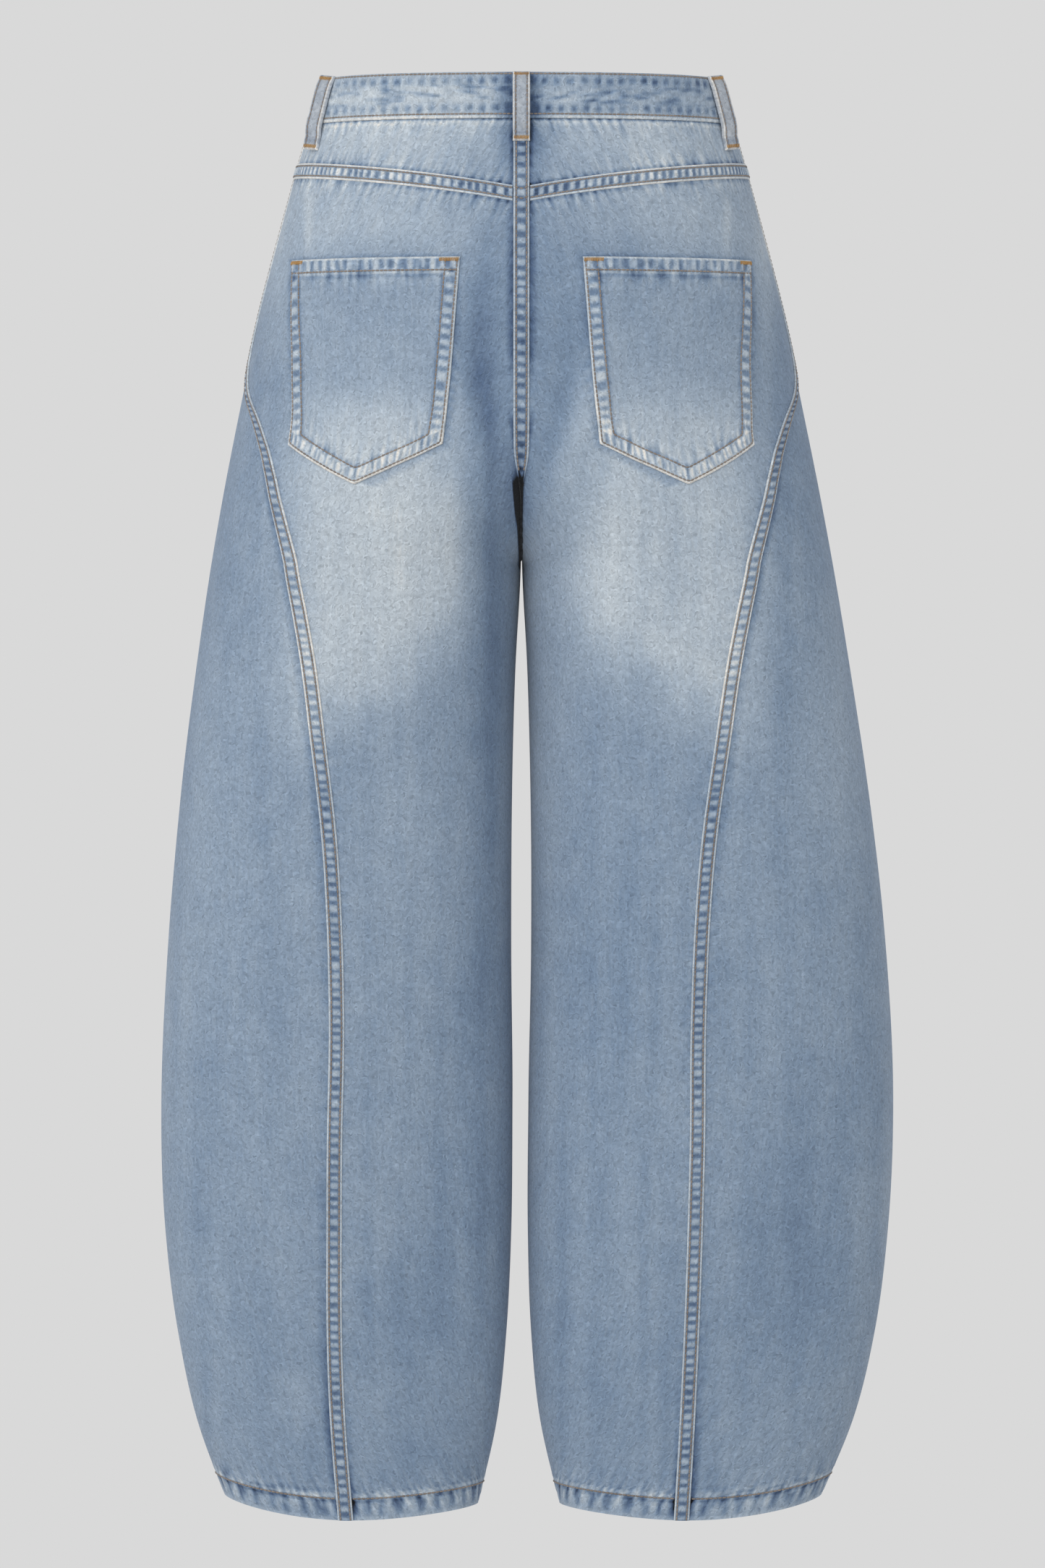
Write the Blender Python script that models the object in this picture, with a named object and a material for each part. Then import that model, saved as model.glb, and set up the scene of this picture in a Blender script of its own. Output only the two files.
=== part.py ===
"""Barrel leg trousers in washed denim, filled out as if worn and held up at the waist.

Metres, +Z up. The origin is the middle of the waist opening, level with its rim. The front of the garment
faces -Y and its back +Y, so the wearer's left is +X. Sizes in this file are millimetres, and become metres
where points are made. A place on the cloth is an angle round one half of the garment and a depth below the
rim: angle 0 is the outer side, +pi the centre back or the back of the inseam, and -pi the centre front or
the front of the inseam.
"""

import math
from collections import namedtuple

import bmesh
import bpy
import numpy as np
from mathutils import Vector

MM = 0.001
LEFT, RIGHT = 1, -1

# Cloth and seams
CLOTH = 1.2
SEAM_GAP = 0.3
BAND_WIDTH = 10.6
BAND_CLOTH = 1.0
BAND_GAP = 0.4
MITRE_LIMIT = 0.6

# Lengths below the rim
WAISTBAND = 32.0
BAND_TOP = WAISTBAND + 1
YOKE_SIDE, YOKE_CENTRE, YOKE_CURVE = 63.5, 84.8, 2.4
CROTCH = 336.0
LENGTH = 991.5
HEM = 15.0
HEM_FOLD = 1.0
HEM_RISE_OUTER, HEM_RISE_INNER = 15.0, 9.0

# The front of the rim sits lower than the back, and the difference is gone this far down
FRONT_DIP, DIP_DEPTH = 18.0, 250.0

# How far above the crotch the body starts to part into legs
PARTING_BACK, PARTING_FRONT = 155.0, 115.0

# How square the outline of a level is, where 2 is an ellipse
SQUARE = 2.3

# One half of the garment, level by level: outer and inner reach from the centre line, front and back reach
Level = namedtuple("Level", "depth outer inner front back")
LEVELS = (
    Level(0, 136.5, 0, 86, 90),
    Level(33, 146.5, 0, 89, 95),
    Level(104, 166, 0, 96, 112),
    Level(164, 181, 0, 100, 124),
    Level(224, 193.5, 0, 102, 128),
    Level(284, 205.5, 0, 101, 124),
    Level(336, 215, 0.3, 97, 115),
    Level(404, 226, 3.8, 91, 106),
    Level(494, 239, 6, 84, 97),
    Level(594, 249.5, 6, 77, 89),
    Level(704, 254.3, 3.8, 70, 81),
    Level(794, 250, 3.8, 63, 74),
    Level(864, 240.5, 7.3, 56, 67),
    Level(924, 226.3, 14.3, 49, 59),
    Level(992, 199, 31, 41, 50),
)

# The outseam starts just in front of the side and swings to the middle of the back of the leg
SeamPoint = namedtuple("SeamPoint", "depth degrees")
OUTSEAM = (
    SeamPoint(0, -17),
    SeamPoint(110, -12),
    SeamPoint(160, -4),
    SeamPoint(190, 6),
    SeamPoint(212, 24),
    SeamPoint(233, 44),
    SeamPoint(254, 53.5),
    SeamPoint(274, 57),
    SeamPoint(294, 58.7),
    SeamPoint(334, 63),
    SeamPoint(373, 69.5),
    SeamPoint(394, 72.8),
    SeamPoint(458, 80.5),
    SeamPoint(521, 86.5),
    SeamPoint(584, 90),
    SeamPoint(640, 91.5),
    SeamPoint(735, 91.7),
    SeamPoint(890, 91),
    SeamPoint(992, 90),
)

# The legs hang a little differently: how much further out than the levels above say each leg's outer and
# inner sides lie, and how many degrees its outseam is turned round it
Hang = namedtuple("Hang", "depth outer inner turn")
HANG_LEFT = (
    Hang(0, 0, 0, 0),
    Hang(344, -0.8, 0, 0),
    Hang(450, -2.7, 0.2, -0.6),
    Hang(560, -5.2, 0.6, -1.1),
    Hang(660, -6, 1.6, -1.4),
    Hang(780, -4.3, 3, -2.2),
    Hang(900, -2.6, 2.6, -3.6),
    Hang(992, 0, 1, -3.4),
)
HANG_RIGHT = (
    Hang(0, 0, 0, 0),
    Hang(344, 0.3, 0, 0),
    Hang(450, 0.8, 0, 1),
    Hang(560, 1.6, 0.4, 2.3),
    Hang(660, 2.2, 0.8, 2.8),
    Hang(780, 3, 0.6, 3),
    Hang(900, 3.4, -1.4, 3.2),
    Hang(992, 1.5, -2.6, 3.2),
)

# Soft folds: a ridge where height is positive, a trough where it is negative. Degrees run from the fold's
# top to its bottom, and width is in degrees too.
Fold = namedtuple("Fold", "side top bottom degrees_top degrees_bottom width height")
FOLDS = (
    Fold(LEFT, 100, 320, 160, 164, 7, -2.6),
    Fold(RIGHT, 100, 330, 156, 162, 7, -2.4),
    Fold(LEFT, 100, 340, 148, 152, 8, 2.0),
    Fold(RIGHT, 100, 340, 140, 152, 8, 2.4),
    Fold(LEFT, 250, 480, 130, 136, 11, 1.8),
    Fold(RIGHT, 250, 480, 120, 126, 11, 1.8),
    Fold(LEFT, 230, 700, 34, 42, 16, 2.4),
    Fold(RIGHT, 210, 660, 30, 44, 16, 2.4),
    Fold(LEFT, 560, 980, 128, 116, 14, -2.2),
    Fold(RIGHT, 600, 985, 54, 62, 14, -2.2),
    Fold(LEFT, 150, 420, -126, -148, 12, -2.4),
    Fold(RIGHT, 150, 430, -130, -150, 12, -2.4),
    Fold(LEFT, 330, 820, -88, -74, 18, 2.4),
    Fold(RIGHT, 300, 800, -96, -78, 18, 2.4),
)
FOLDS_FREE_FROM, FOLDS_GONE_AT = math.radians(160), math.radians(178)

# Back pocket, laid out flat
POCKET_TOP, POCKET_CORNER, POCKET_TIP = 127.5, 255.0, 282.5
POCKET_INNER_TOP, POCKET_OUTER_TOP = 41.5, 177.0
POCKET_INNER_CORNER, POCKET_OUTER_CORNER = 52.0, 156.0
POCKET_SIDE_BOW = 3.0
POCKET_TIP_SHARE = 0.51
POCKET_GAP = 0.9

# Waistband: two layers of cloth, lapped at the centre front over its other end, which runs in behind it
BAND_OUT, BAND_IN = 1.0, -1.8
LAP_REACH, UNDERLAP_REACH = 6.0, 30.0
UNDERLAP_SINK = BAND_OUT - BAND_IN + SEAM_GAP
SINK_FROM, SINK_TO = 22.0, 9.0

# Fly: the left front laps over the right and is closed by a zip behind it
FLY_END, FLY_ROUND, FLY_SETTLE = 186.0, 20.0, 14.0
FLY_RISE = CLOTH + SEAM_GAP
FLY_FLAT_TO, FLY_DOWN_AT = 1.5, 9.0
ZIP_WIDTH, ZIP_TOP, ZIP_END, ZIP_THICK = 22.0, 36.0, 178.0, 1.2
ZIP_OFFSET = 5.0

# The seat seam's band ends where it turns under between the legs
SEAT_SEAM_END = 305.0

# Belt loops
LOOP_WIDTH, LOOP_CLOTH, LOOP_BOW, LOOP_END = 11.5, 1.8, 5.4, 48.0
LOOP_RISES, LOOP_FALLS, LOOP_SETTLES = (1, 9.6), (31.7, 43.2), (36, 44)
LOOP_ROWS = (0, 2.9, 5.8, 9.6, 17.3, 25, 31.7, 35.5, 39.4, 43.2, LOOP_END)
LoopPlace = namedtuple("LoopPlace", "name side degrees")
LOOPS = (
    LoopPlace("belt_loop_back", LEFT, 180),
    LoopPlace("belt_loop_left", LEFT, 44),
    LoopPlace("belt_loop_right", RIGHT, 44),
    LoopPlace("belt_loop_front_left", LEFT, -100),
    LoopPlace("belt_loop_front_right", RIGHT, -100),
)

# Waist button, and its domed side as shares of its radius and thickness
BUTTON_RADIUS, BUTTON_THICK, BUTTON_FROM_EDGE = 8.5, 3.2, 15.0
BUTTON_PROFILE = ((0, 1), (0.55, 1), (0.86, 0.82), (1, 0.4), (0.8, 0), (0, 0))
BUTTON_STEPS = 24

# Depths of the rows of points, closer together where the outseam swings back and where the seat seam curves
# in under the body. The last rows are given by their height above the hem's edge, as negative numbers.
ROWS = (
    *(105, 130, 152, 170, 186, 200, 213, 226, 240, 255, 272, 290, 307, 321, 331, CROTCH),
    *(346, 368, 402, 444, 492, 544, 598, 652, 706, 760, 812, 862, 908, 948),
)
HEM_ROWS = (-HEM - 0.8, -HEM + 0.8, -0.001)

# Rows of the pieces that start at the waistband, above the first of those
TOP_ROWS = (YOKE_SIDE, 85)

# Each front and back is one cloth from its top to the hem. Its solid is parted at these rows into stretches, so
# that none of them bends far round the leg. There is no seam there.
PARTINGS = (346, 652)
STRETCHES = ("hip", "thigh", "shin")

# Where the columns of points run across a panel, closer together at the centre line and the inseam
FRONT_SHARES = (0, 0.015, 0.04, *np.linspace(0.08, 1, 18))
BACK_SHARES = (*np.linspace(0, 0.93, 12), 0.97, 1)
UNDERLAP_COLUMNS, SINK_COLUMNS, WAIST_COLUMNS = 7, 4, 60


def along(table, column, depth):
    """A column of a table as a smooth curve through its rows."""
    xs = np.array([row.depth for row in table], float)
    ys = np.array([getattr(row, column) for row in table], float)
    run = np.diff(xs)
    rise = np.diff(ys) / run
    slope = np.empty(len(xs))
    slope[0], slope[-1] = rise[0], rise[-1]
    slope[1:-1] = (rise[:-1] * run[1:] + rise[1:] * run[:-1]) / (run[1:] + run[:-1])
    i = np.clip(np.searchsorted(xs, depth) - 1, 0, len(xs) - 2)
    t = (depth - xs[i]) / run[i]
    start = (2 * t**3 - 3 * t**2 + 1) * ys[i] + (t**3 - 2 * t**2 + t) * run[i] * slope[i]
    return start + (3 * t**2 - 2 * t**3) * ys[i + 1] + (t**3 - t**2) * run[i] * slope[i + 1]


def ease(value, low, high):
    """0 below low, 1 above high, and a soft step between them."""
    t = np.clip((value - low) / (high - low), 0, 1)
    return t * t * (3 - 2 * t)


def fold_height(side, angle, depth):
    """How far the soft folds lift the cloth, in millimetres."""
    height = np.zeros(np.broadcast(angle, depth).shape)
    for fold in FOLDS:
        if fold.side != side:
            continue
        share = np.clip((depth - fold.top) / (fold.bottom - fold.top), 0, 1)
        middle = np.radians(fold.degrees_top + (fold.degrees_bottom - fold.degrees_top) * share)
        across = (angle - middle) / math.radians(fold.width)
        height += fold.height * np.sin(np.pi * share) ** 2 * np.exp(-across * across)
    return height * (1 - ease(np.abs(angle), FOLDS_FREE_FROM, FOLDS_GONE_AT))


def cloth_face(side, angle, depth):
    """Points on the outer face of the cloth, in millimetres."""
    angle, depth = np.broadcast_arrays(np.asarray(angle, float), np.asarray(depth, float))
    hang = HANG_LEFT if side == LEFT else HANG_RIGHT
    outer = along(LEVELS, "outer", depth) + along(hang, "outer", depth)
    inner = np.maximum(along(LEVELS, "inner", depth) + along(hang, "inner", depth), 0)
    is_back = angle > 0
    reach = np.where(is_back, along(LEVELS, "back", depth), along(LEVELS, "front", depth))
    # A level's outline is half of one wide ring at the hip and a whole ring down the leg. In between it is
    # a ring whose middle moves outward as it goes down, cut off at the centre line.
    above = np.clip((CROTCH - depth) / np.where(is_back, PARTING_BACK, PARTING_FRONT), 0, 1)
    parted = 1 - above**1.5 * (2.5 - 1.5 * above)
    half_width = (outer - inner) / (1 + parted)
    last_turn = np.arctan2((1 - parted**SQUARE) ** (1 / SQUARE), -parted)
    even_share = (1 + parted) / 2
    near_centre = np.sign(angle) * (np.abs(angle) / math.pi) ** 5
    turn = angle * even_share + (last_turn - math.pi * even_share) * near_centre
    c, s = np.cos(turn), np.sin(turn)
    q = (np.abs(c) ** SQUARE + np.abs(s) ** SQUARE) ** (1 / SQUARE)
    lift = fold_height(side, angle, depth)
    x = outer - half_width + (half_width / q + lift) * c + SEAM_GAP / 2
    y = (reach / q + lift) * s
    front_share = np.where(is_back, 0, np.sin(angle / 2) ** 2)
    dip = FRONT_DIP * front_share * (1 - ease(depth, 0, DIP_DEPTH))
    return np.stack([side * x, y, -depth - dip], axis=-1)


def outward(side, angle, depth):
    """Unit normals of the outer face. At the centre, the two halves share one that leans to neither side."""
    turn, drop, nearly = 0.004, 0.6, 1e-6
    across = cloth_face(side, angle + turn, depth) - cloth_face(side, angle - turn, depth)
    down = cloth_face(side, angle, depth + drop) - cloth_face(side, angle, depth - drop)
    normal = side * np.cross(down, across)
    normal /= np.linalg.norm(normal, axis=-1, keepdims=True)
    at_centre = (np.abs(np.abs(angle) - math.pi) < nearly) & (depth < CROTCH - 1)
    flat = normal * (0, 1, 1)
    mitre = 1 / np.maximum(np.linalg.norm(flat, axis=-1, keepdims=True), MITRE_LIMIT)
    flat = flat / np.linalg.norm(flat, axis=-1, keepdims=True) * mitre
    return np.where(at_centre[..., None], flat, normal)


def on_cloth(side, angle, depth, out):
    """Points that far outside the cloth's outer face, in metres."""
    angle, depth = np.broadcast_arrays(angle, depth)
    points = cloth_face(side, angle, depth) + outward(side, angle, depth) * np.asarray(out)[..., None]
    return points * MM


def per_radian(side, angle, depth):
    """How many millimetres of cloth one radian covers there, along a level."""
    step = 0.002
    ends = cloth_face(side, angle + step, depth) - cloth_face(side, angle - step, depth)
    return np.linalg.norm(ends, axis=-1) / (2 * step)


def beside(side, angle, depth, distance):
    """The angle that lies that many millimetres further round the level."""
    for _ in range(8):
        step = distance / 8
        angle = angle + step / per_radian(side, angle, depth)
    return angle


def from_centre_back(side, depth, distance):
    """The angle of a place that many millimetres round from the centre back."""
    return beside(side, np.full(np.shape(depth), math.pi), depth, -distance)


def outseam(side, depth):
    """The angle of the outseam, from the waist to the hem."""
    hang = HANG_LEFT if side == LEFT else HANG_RIGHT
    return np.radians(along(OUTSEAM, "degrees", depth) + along(hang, "turn", depth))


def inseam_inset(side, depth):
    """Half the gap at the inseam, as an angle. Above the crotch the halves meet at the centre instead."""
    return np.where(depth < CROTCH, 0, SEAM_GAP / 2 / per_radian(side, math.pi, depth))


def yoke_line(share):
    """Depth of the yoke seam, from 0 at the outseam to 1 at the centre back."""
    return YOKE_SIDE + (YOKE_CENTRE - YOKE_SIDE) * share**YOKE_CURVE


def hem_line(angle):
    """Depth of the hem's edge: lowest at the middle of the back and front of the leg."""
    rise = (HEM_RISE_OUTER + HEM_RISE_INNER) / 2 + (HEM_RISE_OUTER - HEM_RISE_INNER) / 2 * np.cos(angle)
    return LENGTH - rise * np.cos(angle) ** 2


def back_angle(side, share, depth):
    """From 0 at the outseam to 1 at the centre back or the inseam."""
    start = outseam(side, depth) + SEAM_GAP / 2 / per_radian(side, outseam(side, depth), depth)
    end = math.pi - inseam_inset(side, depth)
    return start + (end - start) * share


def fly_reach(depth):
    """How far the left front laps past the centre: its edge curves in to end at the centre."""
    return LAP_REACH * (1 - ease(depth, FLY_END - FLY_ROUND, FLY_END))


def front_angle(side, share, depth):
    """From 0 at the centre front or the inseam to 1 at the outseam. The left front laps over at the fly."""
    lap = fly_reach(depth) if side == LEFT else 0
    start = -math.pi + inseam_inset(side, depth) - lap / per_radian(side, -math.pi, depth)
    end = outseam(side, depth) - SEAM_GAP / 2 / per_radian(side, outseam(side, depth), depth)
    return start + (end - start) * share


def wall(name, shares, steps, place, material, inner_face, outer_face):
    """A closed wall of cloth: a flat grid thickened by an extrusion, then laid on the garment.

    place turns the grid's two shares into side, angle and depth; the faces are distances from the cloth's
    outer face, as numbers or as functions of those three.
    """
    columns, rows = len(shares), len(steps)
    bm = bmesh.new()
    bmesh.ops.create_grid(bm, x_segments=columns - 1, y_segments=rows - 1, size=0.5)
    bm.verts.ensure_lookup_table()
    lower = list(bm.verts)
    grown = bmesh.ops.extrude_face_region(bm, geom=bm.faces[:])["geom"]
    upper = [item for item in grown if isinstance(item, bmesh.types.BMVert)]
    for verts, face in ((lower, inner_face), (upper, outer_face)):
        flat = np.array([vert.co[:2] for vert in verts]) + 0.5
        column = np.rint(flat[:, 0] * (columns - 1)).astype(int)
        row = np.rint(flat[:, 1] * (rows - 1)).astype(int)
        side, angle, depth = place(np.array(shares)[column], np.array(steps)[row])
        out = face(side, angle, depth) if callable(face) else np.full(np.shape(depth), float(face))
        if np.ndim(side):
            points = np.where(
                side[:, None] > 0,
                on_cloth(LEFT, angle, depth, out),
                on_cloth(RIGHT, angle, depth, out),
            )
        else:
            points = on_cloth(side, angle, depth, out)
        for vert, point in zip(verts, points):
            vert.co = point
    return finish_mesh(name, bm, material)


def finish_mesh(name, bm, material):
    """Closes a bmesh into a named object of the garment, with its faces pointing out."""
    bmesh.ops.triangulate(bm, faces=bm.faces[:])
    bmesh.ops.recalc_face_normals(bm, faces=bm.faces[:])
    mesh = bpy.data.meshes.new(name)
    bm.to_mesh(mesh)
    bm.free()
    mesh.materials.append(material)
    mesh.shade_smooth()
    mesh.set_sharp_from_angle(angle=math.radians(40))
    obj = bpy.data.objects.new(name, mesh)
    garment.objects.link(obj)
    return obj


def even(count):
    """Shares that part a length into that many equal steps."""
    return np.linspace(0, 1, count + 1)


def finish(name, colour, roughness, metallic=0.0):
    """A plain material for a kind of piece."""
    material = bpy.data.materials.new(name)
    material.use_nodes = True
    shader = material.node_tree.nodes["Principled BSDF"]
    shader.inputs["Base Color"].default_value = (*colour, 1)
    shader.inputs["Roughness"].default_value = roughness
    shader.inputs["Metallic"].default_value = metallic
    return material


def leg_rows(top_rows):
    """The rows of a piece that runs down to the hem, starting with its own few at the top."""
    return [*top_rows, *[row for row in ROWS if row > top_rows[-1]], *HEM_ROWS]


def leg_place(side, angle_of, top_depth):
    """Lays a piece on the leg, from the curve at its top to the hem, with its rows level between them."""

    def place(share, row):
        depth = np.where(row < 0, LENGTH, row)
        for _ in range(5):
            angle = angle_of(side, share, depth)
            depth = np.where(row < 0, hem_line(angle) + row, np.maximum(row, top_depth(share)))
        return side, angle_of(side, share, depth), depth

    return place


def hem_thickness(side, angle, depth):
    """The inner face: one layer down the leg, and the turned-up edge at the hem."""
    in_hem = depth > hem_line(angle) - HEM
    return -CLOTH - HEM_FOLD * in_hem


def fly_lift(side, angle, depth):
    """The left front's edge lies over the right front beside the fly."""
    from_centre = side * cloth_face(side, angle, depth)[..., 0]
    settled = ease(depth, FLY_END, FLY_END + FLY_SETTLE)
    return FLY_RISE * (1 - settled) * (1 - ease(from_centre, FLY_FLAT_TO, FLY_DOWN_AT))


def no_lift(side, angle, depth):
    return np.zeros(np.shape(depth))


def build_panel(name, shares, rows, place, lift):
    """A front or back, in its stretches. lift is how far it rises where it laps over another piece."""
    stretches = [[]]
    for row in rows:
        if row in PARTINGS:
            stretches[-1].append(row - SEAM_GAP / 2)
            stretches.append([row + SEAM_GAP / 2])
        else:
            stretches[-1].append(row)
    for word, stretch in zip(STRETCHES, stretches):
        wall(
            f"{name}_{word}",
            shares,
            stretch,
            place,
            leg_denim,
            lambda *at: hem_thickness(*at) + lift(*at),
            lift,
        )


def build_front(side, name):
    """A front: one panel from the waistband to the hem, with the lapped edge of the fly on the left one."""
    top = WAISTBAND + SEAM_GAP / 2
    place = leg_place(side, front_angle, lambda share: top)
    lift = fly_lift if side == LEFT else no_lift
    build_panel(name, FRONT_SHARES, leg_rows([top, *TOP_ROWS]), place, lift)


def build_back(side, name):
    """A back: one panel from the yoke to the hem."""
    place = leg_place(side, back_angle, lambda share: yoke_line(share) + SEAM_GAP / 2)
    build_panel(name, BACK_SHARES, leg_rows([0]), place, no_lift)


def build_yoke(side, name):
    """The yoke, between the waistband and the back."""
    top = WAISTBAND + SEAM_GAP / 2

    def place(share, step):
        depth = top + (yoke_line(share) - SEAM_GAP / 2 - top) * step
        return side, back_angle(side, share, depth), depth

    return wall(name, BACK_SHARES, even(3), place, yoke_denim, -CLOTH, 0)


def around_waist(turn, depth):
    """Side and angle of a turn in degrees from the centre back, positive to the wearer's left."""
    side = np.where(turn < 0, RIGHT, LEFT)
    return side, math.pi - 2 * np.radians(np.abs(turn))


def waist_turn(from_front):
    """The turn of a place that many millimetres short of the centre front, in degrees."""
    return 180 - math.degrees(from_front / LEVELS[0].outer)


def build_waistband():
    """One strip, from its plain end behind the centre front, round the back, to its lapped end."""
    sunk, level = waist_turn(SINK_TO), waist_turn(SINK_FROM)
    turns = [
        *np.linspace(-waist_turn(-UNDERLAP_REACH), -sunk, UNDERLAP_COLUMNS),
        *np.linspace(-sunk, -level, SINK_COLUMNS)[1:],
        *np.linspace(-level, waist_turn(-LAP_REACH), WAIST_COLUMNS)[1:],
    ]

    def place(turn, step):
        depth = step * (WAISTBAND - SEAM_GAP / 2)
        return *around_waist(turn, depth), depth

    def sink(side, angle, depth):
        turn = np.degrees(math.pi - angle) / 2
        return np.where(side < 0, UNDERLAP_SINK * ease(turn, level, sunk), 0)

    return wall(
        "waistband",
        turns,
        even(3),
        place,
        waistband_denim,
        lambda *at: BAND_IN - sink(*at),
        lambda *at: BAND_OUT - sink(*at),
    )


def build_pocket(side, name):
    """A back pocket with a pointed bottom, sewn on the back panel."""

    def place(share, step):
        to_tip = np.minimum(share / POCKET_TIP_SHARE, (1 - share) / (1 - POCKET_TIP_SHARE))
        bottom = POCKET_CORNER + (POCKET_TIP - POCKET_CORNER) * to_tip
        depth = POCKET_TOP + (bottom - POCKET_TOP) * step
        down = np.clip((depth - POCKET_TOP) / (POCKET_CORNER - POCKET_TOP), 0, 1)
        inner = POCKET_INNER_TOP + (POCKET_INNER_CORNER - POCKET_INNER_TOP) * down
        outer = POCKET_OUTER_TOP + (POCKET_OUTER_CORNER - POCKET_OUTER_TOP) * down
        outer += POCKET_SIDE_BOW * np.sin(np.pi * down)
        return side, from_centre_back(side, depth, inner + (outer - inner) * share), depth

    shares = [*np.linspace(0, POCKET_TIP_SHARE, 8), *np.linspace(POCKET_TIP_SHARE, 1, 6)[1:]]
    return wall(name, shares, even(8), place, pocket_denim, POCKET_GAP, POCKET_GAP + CLOTH)


def build_outseam(side, name):
    """The felled outseam: a doubled band along the seam, from the waistband to the hem."""

    def across_seam(side, share, depth):
        return beside(side, outseam(side, depth), depth, BAND_WIDTH * (share - 0.5))

    rows = leg_rows([BAND_TOP, *TOP_ROWS])
    place = leg_place(side, across_seam, lambda share: BAND_TOP)
    return wall(name, even(2), rows, place, seam_denim, BAND_GAP, BAND_GAP + BAND_CLOTH)


def build_yoke_seam(side, name):
    """The felled yoke seam, between the outseam band and the seat seam band."""
    clear = BAND_WIDTH / 2 + SEAM_GAP * 2

    def place(share, step):
        depth = yoke_line(share)
        for _ in range(4):
            start = beside(side, outseam(side, depth), depth, clear)
            end = from_centre_back(side, depth, clear)
            angle = start + (end - start) * share
            seam_share = (angle - outseam(side, depth)) / (math.pi - outseam(side, depth))
            depth = yoke_line(seam_share) + BAND_WIDTH * (step - 0.5)
        return side, angle, depth

    return wall(name, even(12), even(2), place, seam_denim, BAND_GAP, BAND_GAP + BAND_CLOTH)


def build_seat_seam():
    """The felled centre back seam, from the waistband to where it turns under between the legs."""
    rows = [BAND_TOP, 50, *TOP_ROWS, *[row for row in ROWS if row < SEAT_SEAM_END]]

    def place(share, depth):
        side = np.where(share < 0.5, RIGHT, LEFT)
        distance = np.abs(share - 0.5) * BAND_WIDTH
        left = from_centre_back(LEFT, depth, distance)
        right = from_centre_back(RIGHT, depth, distance)
        return side, np.where(side > 0, left, right), depth

    return wall("seat_seam", even(4), rows, place, seam_denim, BAND_GAP, BAND_GAP + BAND_CLOTH)


def build_belt_loop(loop):
    """A folded strap sewn at the rim and below the waistband, standing off between them for a belt."""
    head = BAND_OUT + SEAM_GAP
    foot = BAND_GAP + BAND_CLOTH + SEAM_GAP if loop.degrees == 180 else SEAM_GAP
    centre = math.radians(loop.degrees)

    def standing_off(side, angle, depth):
        settled = head + (foot - head) * ease(depth, *LOOP_SETTLES)
        return settled + LOOP_BOW * (ease(depth, *LOOP_RISES) - ease(depth, *LOOP_FALLS))

    def place(share, depth):
        distance = (share - 0.5) * LOOP_WIDTH
        if loop.degrees == 180:
            side = np.where(distance < 0, RIGHT, LEFT)
            return side, from_centre_back(LEFT, depth, np.abs(distance)), depth
        return loop.side, beside(loop.side, np.full(np.shape(depth), centre), depth, distance), depth

    return wall(
        loop.name,
        even(2),
        LOOP_ROWS,
        place,
        loop_denim,
        standing_off,
        lambda *at: standing_off(*at) + LOOP_CLOTH,
    )


def build_zip():
    """The closed zip and its tape, behind the fly."""

    def place(share, step):
        depth = ZIP_TOP + (ZIP_END - ZIP_TOP) * step
        distance = ZIP_OFFSET + (share - 0.5) * ZIP_WIDTH
        side = np.where(distance < 0, RIGHT, LEFT)
        return side, -math.pi + np.abs(distance) / per_radian(LEFT, -math.pi, depth), depth

    inner = -CLOTH - SEAM_GAP
    return wall("zip", even(4), even(6), place, zip_tape, inner - ZIP_THICK, inner)


def build_button():
    """A turned waist button over the lapped end of the waistband."""
    distance = BUTTON_FROM_EDGE - LAP_REACH
    depth = np.array(WAISTBAND / 2)
    angle = -math.pi + distance / per_radian(LEFT, -math.pi, depth)
    base = BAND_OUT + SEAM_GAP
    centre = on_cloth(LEFT, angle, depth, base)
    normal = outward(LEFT, angle, depth)
    bm = bmesh.new()
    profile = [
        bm.verts.new((BUTTON_RADIUS * out * MM, 0, BUTTON_THICK * up * MM)) for out, up in BUTTON_PROFILE
    ]
    edges = [bm.edges.new(pair) for pair in zip(profile, profile[1:])]
    bmesh.ops.spin(
        bm,
        geom=profile + edges,
        axis=(0, 0, 1),
        cent=(0, 0, 0),
        angle=2 * math.pi,
        steps=BUTTON_STEPS,
        use_merge=True,
    )
    bmesh.ops.remove_doubles(bm, verts=bm.verts[:], dist=1e-6)
    button = finish_mesh("button", bm, metal)
    button.location = centre
    button.rotation_mode = "QUATERNION"
    button.rotation_quaternion = Vector(normal).to_track_quat("Z", "Y")
    return button


for old in list(bpy.data.objects):
    bpy.data.objects.remove(old)
garment = bpy.data.collections.new("barrel_leg_trousers")
bpy.context.scene.collection.children.link(garment)

leg_denim = finish("leg_denim", (0.22, 0.31, 0.46), 0.9)
yoke_denim = finish("yoke_denim", (0.33, 0.43, 0.57), 0.9)
pocket_denim = finish("pocket_denim", (0.29, 0.39, 0.54), 0.9)
waistband_denim = finish("waistband_denim", (0.31, 0.4, 0.54), 0.9)
loop_denim = finish("loop_denim", (0.4, 0.46, 0.53), 0.9)
seam_denim = finish("seam_denim", (0.34, 0.43, 0.55), 0.9)
zip_tape = finish("zip_tape", (0.16, 0.22, 0.34), 0.8)
metal = finish("button_metal", (0.55, 0.47, 0.38), 0.35, 1.0)

for half, word in ((LEFT, "left"), (RIGHT, "right")):
    build_front(half, f"front_{word}")
    build_back(half, f"back_{word}")
    build_yoke(half, f"yoke_{word}")
    build_pocket(half, f"pocket_{word}")
    build_outseam(half, f"outseam_{word}")
    build_yoke_seam(half, f"yoke_seam_{word}")
build_waistband()
build_seat_seam()
for belt_loop in LOOPS:
    build_belt_loop(belt_loop)
build_zip()
build_button()
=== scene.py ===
import math
from collections import namedtuple

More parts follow.
